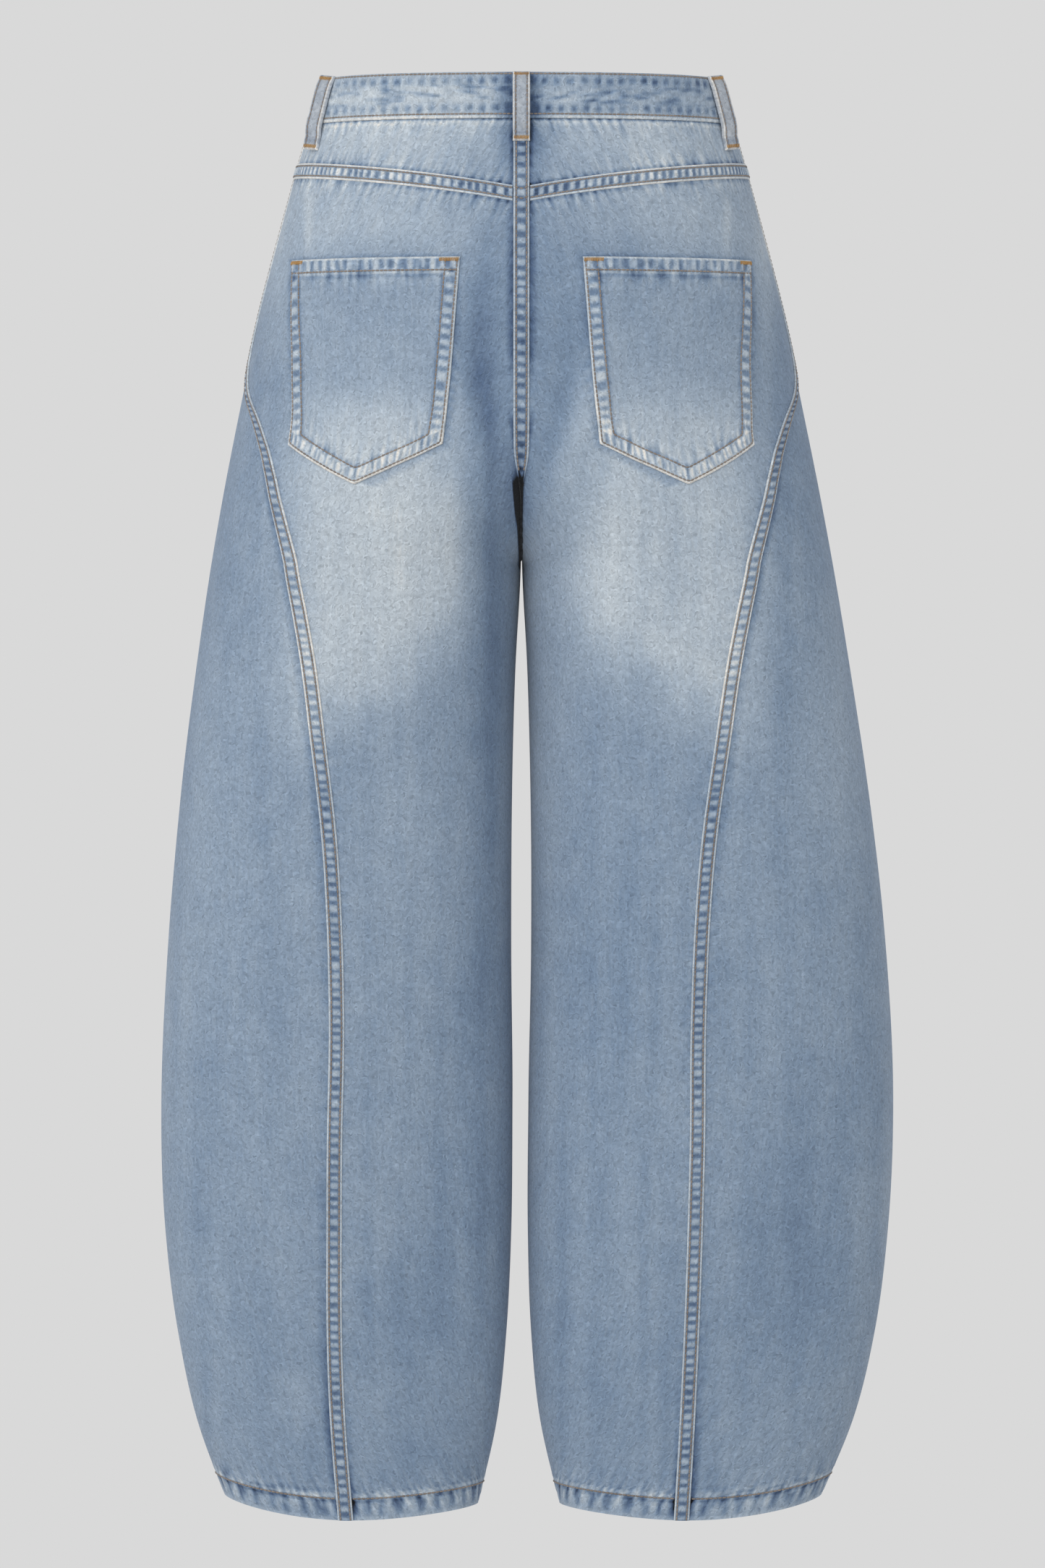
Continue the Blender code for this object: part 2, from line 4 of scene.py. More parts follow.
import bmesh
import bpy
import numpy as np
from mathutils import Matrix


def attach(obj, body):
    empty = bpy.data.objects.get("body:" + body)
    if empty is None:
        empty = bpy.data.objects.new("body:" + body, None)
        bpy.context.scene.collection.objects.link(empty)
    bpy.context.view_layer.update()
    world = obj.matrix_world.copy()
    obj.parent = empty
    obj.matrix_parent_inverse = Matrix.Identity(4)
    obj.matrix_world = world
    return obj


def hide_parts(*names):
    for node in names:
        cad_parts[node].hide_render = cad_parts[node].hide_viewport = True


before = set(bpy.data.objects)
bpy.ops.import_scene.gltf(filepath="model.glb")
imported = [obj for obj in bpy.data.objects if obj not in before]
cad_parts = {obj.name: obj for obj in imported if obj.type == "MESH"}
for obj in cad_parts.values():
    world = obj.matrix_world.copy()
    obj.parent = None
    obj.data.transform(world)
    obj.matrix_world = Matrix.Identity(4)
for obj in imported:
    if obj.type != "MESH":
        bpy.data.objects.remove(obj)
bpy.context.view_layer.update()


# Back panels
# Each back is one piece of washed cotton denim, from the yoke to the hem. It is seamed to the front along
# the outseam and the inseam and to the other back at the seat, and it keeps the form it has when worn. A
# place on the cloth is an angle round one half of the garment and a depth below the rim, in millimetres.
MM = 0.001
LEFT, RIGHT = 1, -1
HALVES = ((LEFT, "left"), (RIGHT, "right"))
STRETCHES = ("hip", "thigh", "shin")
CLOTH, SEAM_GAP, MITRE_LIMIT = 1.2, 0.3, 0.6
BAND_WIDTH = 10.6
WAISTBAND, CROTCH, LENGTH = 32.0, 336.0, 991.5
YOKE_SIDE, YOKE_CENTRE, YOKE_CURVE = 63.5, 84.8, 2.4
HEM, HEM_FOLD, HEM_RISE_OUTER, HEM_RISE_INNER = 15.0, 1.0, 15.0, 9.0
FRONT_DIP, DIP_DEPTH = 18.0, 250.0
PARTING_BACK, PARTING_FRONT, SQUARE = 155.0, 115.0, 2.3

Level = namedtuple("Level", "depth outer inner front back")
LEVELS = (
    Level(0, 136.5, 0, 86, 90),
    Level(33, 146.5, 0, 89, 95),
    Level(104, 166, 0, 96, 112),
    Level(164, 181, 0, 100, 124),
    Level(224, 193.5, 0, 102, 128),
    Level(284, 205.5, 0, 101, 124),
    Level(336, 215, 0.3, 97, 115),
    Level(404, 226, 3.8, 91, 106),
    Level(494, 239, 6, 84, 97),
    Level(594, 249.5, 6, 77, 89),
    Level(704, 254.3, 3.8, 70, 81),
    Level(794, 250, 3.8, 63, 74),
    Level(864, 240.5, 7.3, 56, 67),
    Level(924, 226.3, 14.3, 49, 59),
    Level(992, 199, 31, 41, 50),
)

SeamPoint = namedtuple("SeamPoint", "depth degrees")
OUTSEAM = (
    SeamPoint(0, -17),
    SeamPoint(110, -12),
    SeamPoint(160, -4),
    SeamPoint(190, 6),
    SeamPoint(212, 24),
    SeamPoint(233, 44),
    SeamPoint(254, 53.5),
    SeamPoint(274, 57),
    SeamPoint(294, 58.7),
    SeamPoint(334, 63),
    SeamPoint(373, 69.5),
    SeamPoint(394, 72.8),
    SeamPoint(458, 80.5),
    SeamPoint(521, 86.5),
    SeamPoint(584, 90),
    SeamPoint(640, 91.5),
    SeamPoint(735, 91.7),
    SeamPoint(890, 91),
    SeamPoint(992, 90),
)

Hang = namedtuple("Hang", "depth outer inner turn")
HANG_LEFT = (
    Hang(0, 0, 0, 0),
    Hang(344, -0.8, 0, 0),
    Hang(450, -2.7, 0.2, -0.6),
    Hang(560, -5.2, 0.6, -1.1),
    Hang(660, -6, 1.6, -1.4),
    Hang(780, -4.3, 3, -2.2),
    Hang(900, -2.6, 2.6, -3.6),
    Hang(992, 0, 1, -3.4),
)
HANG_RIGHT = (
    Hang(0, 0, 0, 0),
    Hang(344, 0.3, 0, 0),
    Hang(450, 0.8, 0, 1),
    Hang(560, 1.6, 0.4, 2.3),
    Hang(660, 2.2, 0.8, 2.8),
    Hang(780, 3, 0.6, 3),
    Hang(900, 3.4, -1.4, 3.2),
    Hang(992, 1.5, -2.6, 3.2),
)

# The first folds are those of the solids. The smaller ones after them are creases of the cloth alone.
Fold = namedtuple("Fold", "side top bottom degrees_top degrees_bottom width height")
FOLDS = (
    Fold(LEFT, 100, 320, 160, 164, 7, -2.6),
    Fold(RIGHT, 100, 330, 156, 162, 7, -2.4),
    Fold(LEFT, 100, 340, 148, 152, 8, 2.0),
    Fold(RIGHT, 100, 340, 140, 152, 8, 2.4),
    Fold(LEFT, 250, 480, 130, 136, 11, 1.8),
    Fold(RIGHT, 250, 480, 120, 126, 11, 1.8),
    Fold(LEFT, 230, 700, 34, 42, 16, 2.4),
    Fold(RIGHT, 210, 660, 30, 44, 16, 2.4),
    Fold(LEFT, 560, 980, 128, 116, 14, -2.2),
    Fold(RIGHT, 600, 985, 54, 62, 14, -2.2),
    Fold(LEFT, 150, 420, -126, -148, 12, -2.4),
    Fold(RIGHT, 150, 430, -130, -150, 12, -2.4),
    Fold(LEFT, 330, 820, -88, -74, 18, 2.4),
    Fold(RIGHT, 300, 800, -96, -78, 18, 2.4),
    Fold(LEFT, 250, 400, 100, 106, 5, 0.8),
    Fold(LEFT, 262, 430, 118, 121, 5, 0.7),
    Fold(RIGHT, 250, 410, 96, 104, 5, 0.8),
    Fold(RIGHT, 270, 440, 112, 118, 5, 0.7),
    Fold(LEFT, 60, 150, 30, 34, 3.5, 0.9),
    Fold(LEFT, 66, 170, 38, 40, 3.5, -0.8),
    Fold(RIGHT, 62, 150, 32, 35, 3.5, 0.9),
    Fold(RIGHT, 60, 160, 24, 30, 3.5, -0.8),
    Fold(LEFT, 90, 200, -60, -66, 6, 0.9),
    Fold(RIGHT, 80, 210, -54, -64, 6, 0.9),
)
FOLDS_FREE_FROM, FOLDS_GONE_AT = math.radians(160), math.radians(178)


def along(table, column, depth):
    """A column of a table as a smooth curve through its rows."""
    xs = np.array([row.depth for row in table], float)
    ys = np.array([getattr(row, column) for row in table], float)
    run = np.diff(xs)
    rise = np.diff(ys) / run
    slope = np.empty(len(xs))
    slope[0], slope[-1] = rise[0], rise[-1]
    slope[1:-1] = (rise[:-1] * run[1:] + rise[1:] * run[:-1]) / (run[1:] + run[:-1])
    i = np.clip(np.searchsorted(xs, depth) - 1, 0, len(xs) - 2)
    t = (depth - xs[i]) / run[i]
    start = (2 * t**3 - 3 * t**2 + 1) * ys[i] + (t**3 - 2 * t**2 + t) * run[i] * slope[i]
    return start + (3 * t**2 - 2 * t**3) * ys[i + 1] + (t**3 - t**2) * run[i] * slope[i + 1]


def ease(value, low, high):
    """0 below low, 1 above high, and a soft step between them."""
    t = np.clip((value - low) / (high - low), 0, 1)
    return t * t * (3 - 2 * t)


def hump(distance, width):
    """1 at no distance, fading to 0 over about that width."""
    return np.exp(-((distance / width) ** 2))


def round_edge(to_edge, radius):
    """The rise of a rounded edge, from 0 at the edge to 1 one radius in from it."""
    return np.sqrt(1 - (1 - np.clip(to_edge / radius, 0, 1)) ** 2)


def uneven(u, v, step_u, step_v, seed):
    """Soft unevenness from -1 to 1, with humps about as long as the two steps."""
    cells = np.random.default_rng(seed).random((101, 103))
    a, b = np.broadcast_arrays(np.asarray(u, float) / step_u, np.asarray(v, float) / step_v)
    i, j = np.floor(a).astype(int), np.floor(b).astype(int)
    s, t = ease(a - i, 0, 1), ease(b - j, 0, 1)
    near = cells[i % 101, j % 103] * (1 - s) + cells[(i + 1) % 101, j % 103] * s
    far = cells[i % 101, (j + 1) % 103] * (1 - s) + cells[(i + 1) % 101, (j + 1) % 103] * s
    return 2 * (near * (1 - t) + far * t) - 1


def rope(run, across, pitch, slant, seed):
    """The ridges and hollows that shrinking leaves between rows of stitches, from -1 to 1."""
    phase = 2 * np.pi * (run + slant * across) / pitch + 2.2 * uneven(run, 0, 2.6 * pitch, 1, seed)
    return np.tanh(2.2 * np.cos(phase) + 1.4 * uneven(run, across, pitch, 5, seed + 1))


def fold_height(side, angle, depth):
    """How far the folds lift the cloth, in millimetres."""
    height = np.zeros(np.broadcast(angle, depth).shape)
    for fold in FOLDS:
        if fold.side != side:
            continue
        share = np.clip((depth - fold.top) / (fold.bottom - fold.top), 0, 1)
        middle = np.radians(fold.degrees_top + (fold.degrees_bottom - fold.degrees_top) * share)
        across = (angle - middle) / math.radians(fold.width)
        height += fold.height * np.sin(np.pi * share) ** 2 * np.exp(-across * across)
    return height * (1 - ease(np.abs(angle), FOLDS_FREE_FROM, FOLDS_GONE_AT))


def cloth_face(side, angle, depth):
    """Points on the outer face of the cloth, in millimetres."""
    angle, depth = np.broadcast_arrays(np.asarray(angle, float), np.asarray(depth, float))
    hang = HANG_LEFT if side == LEFT else HANG_RIGHT
    outer = along(LEVELS, "outer", depth) + along(hang, "outer", depth)
    inner = np.maximum(along(LEVELS, "inner", depth) + along(hang, "inner", depth), 0)
    is_back = angle > 0
    reach = np.where(is_back, along(LEVELS, "back", depth), along(LEVELS, "front", depth))
    above = np.clip((CROTCH - depth) / np.where(is_back, PARTING_BACK, PARTING_FRONT), 0, 1)
    parted = 1 - above**1.5 * (2.5 - 1.5 * above)
    half_width = (outer - inner) / (1 + parted)
    last_turn = np.arctan2((1 - parted**SQUARE) ** (1 / SQUARE), -parted)
    even_share = (1 + parted) / 2
    near_centre = np.sign(angle) * (np.abs(angle) / math.pi) ** 5
    turn = angle * even_share + (last_turn - math.pi * even_share) * near_centre
    c, s = np.cos(turn), np.sin(turn)
    q = (np.abs(c) ** SQUARE + np.abs(s) ** SQUARE) ** (1 / SQUARE)
    lift = fold_height(side, angle, depth)
    x = outer - half_width + (half_width / q + lift) * c + SEAM_GAP / 2
    y = (reach / q + lift) * s
    front_share = np.where(is_back, 0, np.sin(angle / 2) ** 2)
    dip = FRONT_DIP * front_share * (1 - ease(depth, 0, DIP_DEPTH))
    return np.stack([side * x, y, -depth - dip], axis=-1)


def outward(side, angle, depth):
    """Unit normals of the outer face. At the centre, the two halves share one that leans to neither side."""
    turn, drop, nearly = 0.004, 0.6, 1e-6
    across = cloth_face(side, angle + turn, depth) - cloth_face(side, angle - turn, depth)
    down = cloth_face(side, angle, depth + drop) - cloth_face(side, angle, depth - drop)
    normal = side * np.cross(down, across)
    normal /= np.linalg.norm(normal, axis=-1, keepdims=True)
    at_centre = (np.abs(np.abs(angle) - math.pi) < nearly) & (depth < CROTCH - 1)
    flat = normal * (0, 1, 1)
    mitre = 1 / np.maximum(np.linalg.norm(flat, axis=-1, keepdims=True), MITRE_LIMIT)
    flat = flat / np.linalg.norm(flat, axis=-1, keepdims=True) * mitre
    return np.where(at_centre[..., None], flat, normal)


def by_half(measure, side, *at):
    """Runs a measure that takes one half of the garment for places on either half."""
    side, *at = np.broadcast_arrays(side, *at)
    left = side == LEFT
    found = None
    for half, here in ((LEFT, left), (RIGHT, ~left)):
        values = measure(half, *[each[here] for each in at])
        if found is None:
            found = np.empty((*left.shape, *values.shape[1:]))
        found[here] = values
    return found


def on_cloth(side, angle, depth, out):
    """Points that far outside the cloth's outer face, in metres, for places on either half."""
    face = by_half(cloth_face, side, angle, depth)
    normal = by_half(outward, side, angle, depth)
    return (face + normal * np.broadcast_to(out, face.shape[:-1])[..., None]) * MM


def per_radian(side, angle, depth):
    """How many millimetres of cloth one radian covers there, along a level."""
    step = 0.002
    ends = cloth_face(side, angle + step, depth) - cloth_face(side, angle - step, depth)
    return np.linalg.norm(ends, axis=-1) / (2 * step)


def beside(side, angle, depth, distance):
    """The angle that lies that many millimetres further round the level."""
    steps = 6
    for _ in range(steps):
        angle = angle + distance / steps / per_radian(side, angle, depth)
    return angle


def from_centre_back(side, depth, distance):
    """The angle of a place that many millimetres round from the centre back."""
    return beside(side, np.full(np.shape(depth), math.pi), depth, -distance)


def round_table(side, angles, depths):
    """Millimetres of cloth from the outer side of the leg round to each angle, at each depth."""
    points = cloth_face(side, angles[:, None], depths)
    lengths = np.linalg.norm(np.diff(points, axis=0), axis=-1)
    run = np.concatenate([np.zeros((1, len(depths))), np.cumsum(lengths, axis=0)])
    return run - run[np.argmin(np.abs(angles))]


ROUND_ANGLES, ROUND_DEPTHS = np.linspace(-1.25, 1.25, 301) * math.pi, np.linspace(-5, 1000, 68)
ROUNDS = {half: round_table(half, ROUND_ANGLES, ROUND_DEPTHS) for half, _ in HALVES}


def round_cloth(side, angle, depth):
    """Millimetres of cloth from the outer side of the leg, along the level."""
    a = np.interp(angle, ROUND_ANGLES, np.arange(len(ROUND_ANGLES)))
    b = np.interp(depth, ROUND_DEPTHS, np.arange(len(ROUND_DEPTHS)))
    i, j = np.minimum(a.astype(int), len(ROUND_ANGLES) - 2), np.minimum(b.astype(int), len(ROUND_DEPTHS) - 2)
    s, t = a - i, b - j
    table = ROUNDS[side]
    near = table[i, j] * (1 - s) + table[i + 1, j] * s
    return near * (1 - t) + (table[i, j + 1] * (1 - s) + table[i + 1, j + 1] * s) * t


def outseam(side, depth):
    """The angle of the outseam, from the waist to the hem."""
    hang = HANG_LEFT if side == LEFT else HANG_RIGHT
    return np.radians(along(OUTSEAM, "degrees", depth) + along(hang, "turn", depth))


def inseam_inset(side, depth):
    """Half the gap at the inseam, as an angle. Above the crotch the halves meet at the centre instead."""
    return np.where(depth < CROTCH, 0, SEAM_GAP / 2 / per_radian(side, math.pi, depth))


def yoke_line(share):
    """Depth of the yoke seam, from 0 at the outseam to 1 at the centre back."""
    return YOKE_SIDE + (YOKE_CENTRE - YOKE_SIDE) * share**YOKE_CURVE


def hem_line(angle):
    """Depth of the hem's edge: lowest at the middle of the back and front of the leg."""
    rise = (HEM_RISE_OUTER + HEM_RISE_INNER) / 2 + (HEM_RISE_OUTER - HEM_RISE_INNER) / 2 * np.cos(angle)
    return LENGTH - rise * np.cos(angle) ** 2


def back_angle(side, share, depth):
    """From 0 at the outseam to 1 at the centre back or the inseam."""
    start = outseam(side, depth) + SEAM_GAP / 2 / per_radian(side, outseam(side, depth), depth)
    end = math.pi - inseam_inset(side, depth)
    return start + (end - start) * share


def leg_place(side, angle_of, top_depth):
    """Lays a panel between the curve at its top and the hem, with its rows spread evenly between them."""

    def place(share, step):
        depth = CROTCH
        for _ in range(5):
            angle = angle_of(side, share, depth + np.zeros(np.shape(share)))
            depth = top_depth(share) + (hem_line(angle) - top_depth(share)) * step
        return side, angle_of(side, share, depth), depth

    return place


# Washing, wear, painted shade and painted light, as lightness from 0 for deep indigo to 1 for bare white. x is
# towards the wearer's left.
WearAndShade = namedtuple("WearAndShade", "x depth wide tall amount")
# Besides fades, this table holds painted shade: the darker rows on the wearer's right half, at the outer sides,
# beside the back belt loop, in the fold troughs beside the seat seam, on the left leg beside the gap between
# the legs and in the cleft. The paler rows beside that gap are painted light that lifts its shade.
BACK_WEAR_AND_SHADE = (
    WearAndShade(0, 18, 300, 36, 0.2),
    WearAndShade(112, 62, 70, 50, 0.14),
    WearAndShade(-112, 62, 70, 50, 0.12),
    WearAndShade(100, 106, 60, 22, 0.1),
    WearAndShade(-100, 106, 60, 22, 0.1),
    WearAndShade(90, 62, 40, 30, 0.04),
    WearAndShade(-90, 62, 40, 30, 0.04),
    WearAndShade(150, 110, 40, 40, 0.05),
    WearAndShade(-150, 110, 40, 40, 0.05),
    WearAndShade(8, 44, 11, 20, -0.2),
    WearAndShade(-8, 44, 11, 20, -0.28),
    WearAndShade(-150, 10, 90, 30, -0.09),
    WearAndShade(-190, 60, 60, 60, -0.08),
    WearAndShade(-205, 330, 50, 150, -0.06),
    WearAndShade(-210, 560, 40, 90, -0.05),
    WearAndShade(146, 100, 3, 35, 0.1),
    WearAndShade(-141, 105, 3, 30, 0.1),
    WearAndShade(150, 178, 18, 30, 0.07),
    WearAndShade(44, 230, 20, 60, -0.05),
    WearAndShade(100, 505, 30, 60, 0.05),
    WearAndShade(24, 600, 16, 250, -0.07),
    WearAndShade(-18, 480, 12, 160, 0.05),
    WearAndShade(0, 120, 30, 90, -0.06),
    WearAndShade(30, 240, 16, 110, -0.08),
    WearAndShade(-26, 250, 24, 110, -0.03),
    WearAndShade(2, 286, 9, 34, -0.16),
    WearAndShade(22, 390, 16, 100, -0.06),
    WearAndShade(21, 320, 12, 80, -0.08),
    WearAndShade(45, 300, 9, 60, 0.06),
    WearAndShade(-85, 18, 48, 20, -0.1),
    WearAndShade(-80, 120, 40, 30, -0.05),
    WearAndShade(45, 125, 36, 30, 0.04),
    WearAndShade(-98, 310, 34, 100, -0.1),
    WearAndShade(-6, 345, 24, 40, 0.07),
    WearAndShade(215, 440, 30, 80, -0.05),
    WearAndShade(190, 370, 20, 50, -0.04),
    WearAndShade(66, 950, 26, 30, -0.06),
    WearAndShade(148, 905, 28, 20, 0.04),
    WearAndShade(48, 330, 26, 60, 0.06),
    WearAndShade(-48, 340, 26, 80, 0.07),
    WearAndShade(190, 300, 30, 120, -0.03),
    WearAndShade(-190, 300, 30, 120, -0.03),
    WearAndShade(170, 130, 12, 60, 0.1),
    WearAndShade(-166, 120, 8, 50, 0.12),
    WearAndShade(150, 390, 20, 110, 0.06),
    WearAndShade(-150, 390, 20, 110, 0.06),
    WearAndShade(75, 690, 36, 160, 0.04),
    WearAndShade(-70, 620, 40, 200, -0.02),
    WearAndShade(190, 620, 40, 220, 0.02),
    WearAndShade(-190, 620, 40, 220, 0.02),
    WearAndShade(110, 880, 110, 60, -0.02),
    WearAndShade(-110, 880, 110, 60, -0.02),
)
# The darker row down the middle of the front, where the legs meet, is painted shade; the others are fades.
FRONT_WEAR_AND_SHADE = (
    WearAndShade(0, 20, 240, 50, 0.14),
    WearAndShade(100, 330, 60, 170, 0.24),
    WearAndShade(-100, 330, 60, 170, 0.24),
    WearAndShade(0, 300, 26, 130, -0.08),
    WearAndShade(120, 560, 50, 60, 0.08),
    WearAndShade(-120, 560, 50, 60, 0.08),
)
PLAIN_WASH = 0.46

# The pale patch down the back of each thigh, from the pocket to where it stops above the knee
Thigh = namedtuple("Thigh", "depth x wide amount")
THIGH_WEAR = (
    Thigh(0, 96, 50, 0),
    Thigh(150, 96, 50, 0.02),
    Thigh(200, 98, 50, 0.1),
    Thigh(250, 98, 58, 0.26),
    Thigh(300, 98, 60, 0.3),
    Thigh(360, 100, 58, 0.3),
    Thigh(410, 106, 52, 0.28),
    Thigh(1000, 112, 46, 0.28),
)
THIGH_MIDDLE, THIGH_STOP, THIGH_STOP_SLANT, THIGH_STOP_SOFT = 98.0, 426.0, 0.5, 46.0
# The front's wear and painted shade turn into the back's between these two distances behind the middle.
FRONT_UP_TO, BACK_FROM = -25.0, 12.0
# The ridges of folds rub paler, and on top of that the folds carry painted light on their ridges and painted
# shade in their hollows. Below the crotch, painted light lifts the shade along the inseam, and the cleft
# between the seat and the legs is painted near black as its shadow.
FOLD_WEAR_AND_SHADE, INSEAM_LIGHT, INSEAM_WIDE = 0.036, 0.2, 0.34
CLEFT_TOP, CLEFT_END, CLEFT_SHADOW = 262.0, 340.0, -1.1


def cleft_shadow_share(depth):
    """The share of painted shadow in the cleft between the seat and the legs at a depth, from 0 to 1."""
    return ease(depth, CLEFT_TOP, CLEFT_TOP + 30) ** 2


def half_washed_and_shaded(side, angle, depth):
    """How light the cloth of one half is at a place, from 0 to 1: how far it is washed out, with painted shade
    and painted light added.
    """
    x, y, _ = np.moveaxis(cloth_face(side, angle, depth), -1, 0)
    behind = ease(y, FRONT_UP_TO, BACK_FROM)
    shade = np.full(depth.shape, PLAIN_WASH)
    for table, share in ((BACK_WEAR_AND_SHADE, behind), (FRONT_WEAR_AND_SHADE, 1 - behind)):
        for patch in table:
            shade += share * patch.amount * hump(x - patch.x, patch.wide) * hump(depth - patch.depth, patch.tall)
    out = (np.abs(x) - along(THIGH_WEAR, "x", depth)) / along(THIGH_WEAR, "wide", depth)
    stop = THIGH_STOP + (np.abs(x) - THIGH_MIDDLE) * THIGH_STOP_SLANT + 9 * uneven(x, depth, 22, 30, 3)
    stopped = 1 - ease(depth, stop - THIGH_STOP_SOFT, stop + THIGH_STOP_SOFT)
    shade += behind * along(THIGH_WEAR, "amount", depth) * np.exp(-np.abs(out) ** 3) * stopped
    # Fold ridges are rubbed paler and carry painted light; fold hollows carry painted shade.
    shade += FOLD_WEAR_AND_SHADE * fold_height(side, angle, depth)
    # Painted light that lifts the shade on the insides of the legs, beside the gap between them.
    inseam_light = hump(math.pi - np.abs(angle), INSEAM_WIDE) * ease(depth, 306, 336) * (1 - ease(depth, 420, 620))
    shade += INSEAM_LIGHT * inseam_light
    # Painted shadow in the cleft between the seat and the legs, a few millimetres wide.
    cleft_shade = cleft_shadow_share(depth) * (1 - ease(depth, CLEFT_END - 5, CLEFT_END))
    half_cleft = 0.9 + 2.1 * (1 - ease(depth, 280, 322))
    off_cleft = np.abs(x - 2 + 1.2 * ease(depth, 284, 334)) - half_cleft
    shade += CLEFT_SHADOW * cleft_shade * (1 - ease(off_cleft, -0.6, 0.8)) * behind
    return shade + uneven(x, depth, 7, 160, 5) * 0.03 + uneven(x, depth, 26, 70, 7) * 0.025


def washed_and_shaded(side, angle, depth):
    return by_half(half_washed_and_shaded, side, angle, depth)


def lay_wall(name, columns, rows, place, outer, inner, looks, finishes):
    """A closed wall of cloth: a flat grid thickened by an extrusion, then laid on the garment.

    place turns the grid's two shares into side, angle and depth. outer and inner are distances from the
    cloth's outer face, each a number or a function of side, angle, depth and the two shares. looks gives
    what the finish reads there, and finishes are those of the outside and the inside.
    """
    bm = bmesh.new()
    bmesh.ops.create_grid(bm, x_segments=len(columns) - 1, y_segments=len(rows) - 1, size=0.5)
    first_layer = len(bm.verts)
    for face in bm.faces:
        face.material_index = 1
    grown = bmesh.ops.extrude_face_region(bm, geom=bm.faces[:])["geom"]
    for item in grown:
        if isinstance(item, bmesh.types.BMFace):
            item.material_index = 0
    mesh = bpy.data.meshes.new(name)
    bm.verts.index_update()
    bm.to_mesh(mesh)
    bm.free()
    at = np.empty(len(mesh.vertices) * 3)
    mesh.vertices.foreach_get("co", at)
    at = at.reshape(-1, 3)[:, :2] + 0.5
    share = np.array(columns)[np.rint(at[:, 0] * (len(columns) - 1)).astype(int)]
    step = np.array(rows)[np.rint(at[:, 1] * (len(rows) - 1)).astype(int)]
    here = (*place(share, step), share, step)
    is_outer = np.arange(len(share)) >= first_layer
    out = np.where(is_outer, valued(outer, here), valued(inner, here))
    mesh.vertices.foreach_set("co", on_cloth(*here[:3], out).ravel())
    return finish_cloth(mesh, looks(*here), finishes)


def valued(setting, here):
    return setting(*here) if callable(setting) else float(setting)


# What a cloth's finish reads at each of its points: its map in metres, its wash with painted shade and painted
# light added, and how many millimetres it lies from the nearest stitching that runs level and that runs upright
Looks = namedtuple("Looks", "u v wash by_level by_upright")
FAR = 99.0


def finish_cloth(mesh, looks, finishes):
    """Gives a cloth mesh what its finish reads, and makes it a piece of the garment."""
    corners = np.empty(len(mesh.loops), np.int32)
    mesh.loops.foreach_get("vertex_index", corners)
    count = len(mesh.vertices)
    flat = np.stack([np.broadcast_to(looks.u, count), np.broadcast_to(looks.v, count)], axis=-1)
    mesh.uv_layers.new(name="cloth").data.foreach_set("uv", flat[corners].ravel())
    for name in ("wash", "by_level", "by_upright"):
        values = np.broadcast_to(getattr(looks, name), count).astype(np.float32)
        mesh.attributes.new(name, "FLOAT", "POINT").data.foreach_set("value", values)
    for finish in finishes:
        mesh.materials.append(finish)
    bm = bmesh.new()
    bm.from_mesh(mesh)
    bmesh.ops.recalc_face_normals(bm, faces=bm.faces[:])
    bm.to_mesh(mesh)
    bm.free()
    mesh.shade_smooth()
    mesh.set_sharp_from_angle(angle=math.radians(50))
    piece = bpy.data.objects.new(mesh.name, mesh)
    garment.objects.link(piece)
    return piece


def dress(piece, slot, *nodes):
    """Puts a finished piece in its nodes' place, riding with the garment."""
    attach(piece, "root")
    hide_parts(*nodes)


def add_node(tree, kind, inputs, **settings):
    """A shader node with its settings, and its inputs linked or filled in."""
    node = tree.nodes.new(kind)
    for name, value in settings.items():
        setattr(node, name, value)
    for socket, value in inputs.items():
        if isinstance(value, bpy.types.NodeSocket):
            tree.links.new(value, node.inputs[socket])
        else:
            node.inputs[socket].default_value = value
    return node


def sums(tree, operation, first, second=0.0, third=0.0):
    """The output of one sum."""
    values = {0: first, 1: second, 2: third}
    return add_node(tree, "ShaderNodeMath", values, operation=operation).outputs[0]


def paint(red, green, blue):
    """A colour given from 0 to 255, as the shader takes it."""
    shares = np.array([red, green, blue]) / 255
    return (*np.where(shares <= 0.04045, shares / 12.92, ((shares + 0.055) / 1.055) ** 2.4), 1.0)


Tone = namedtuple("Tone", "wash colour")
# The near-black tone at 0 is there for the painted shadow in the cleft.
INDIGO_TONES = (
    Tone(0.0, (6, 9, 15)),
    Tone(0.2, (78, 99, 130)),
    Tone(0.4, (125, 145, 169)),
    Tone(0.6, (162, 177, 193)),
    Tone(0.8, (198, 207, 214)),
    Tone(1.0, (238, 234, 227)),
)
INSIDE_TONES = (
    Tone(0.0, (96, 106, 122)),
    Tone(0.5, (152, 162, 174)),
    Tone(1.0, (210, 213, 215)),
)


def map_noise(tree, cloth_map, along_cloth, down_cloth, detail=1.0, distortion=0.0):
    """Noise on the cloth's map, with its own scale each way."""
    stretched = add_node(
        tree, "ShaderNodeMapping", {"Vector": cloth_map, "Scale": (along_cloth, down_cloth, 1)}
    ).outputs[0]
    values = {"Vector": stretched, "Scale": 1.0, "Detail": detail, "Distortion": distortion}
    return add_node(tree, "ShaderNodeTexNoise", values).outputs[0]


def read_attribute(tree, name):
    return add_node(tree, "ShaderNodeAttribute", {}, attribute_name=name).outputs["Fac"]


def puckers(tree, cloth_map, name, along_cloth, down_cloth, reach):
    """Fine puckers that stand square to the nearest stitching and fade away from it."""
    noise = map_noise(tree, cloth_map, along_cloth, down_cloth, 0.0)
    spread = sums(tree, "SUBTRACT", noise, 0.5)
    fade = sums(tree, "EXPONENT", sums(tree, "DIVIDE", read_attribute(tree, name), -reach))
    return sums(tree, "MULTIPLY", spread, fade)


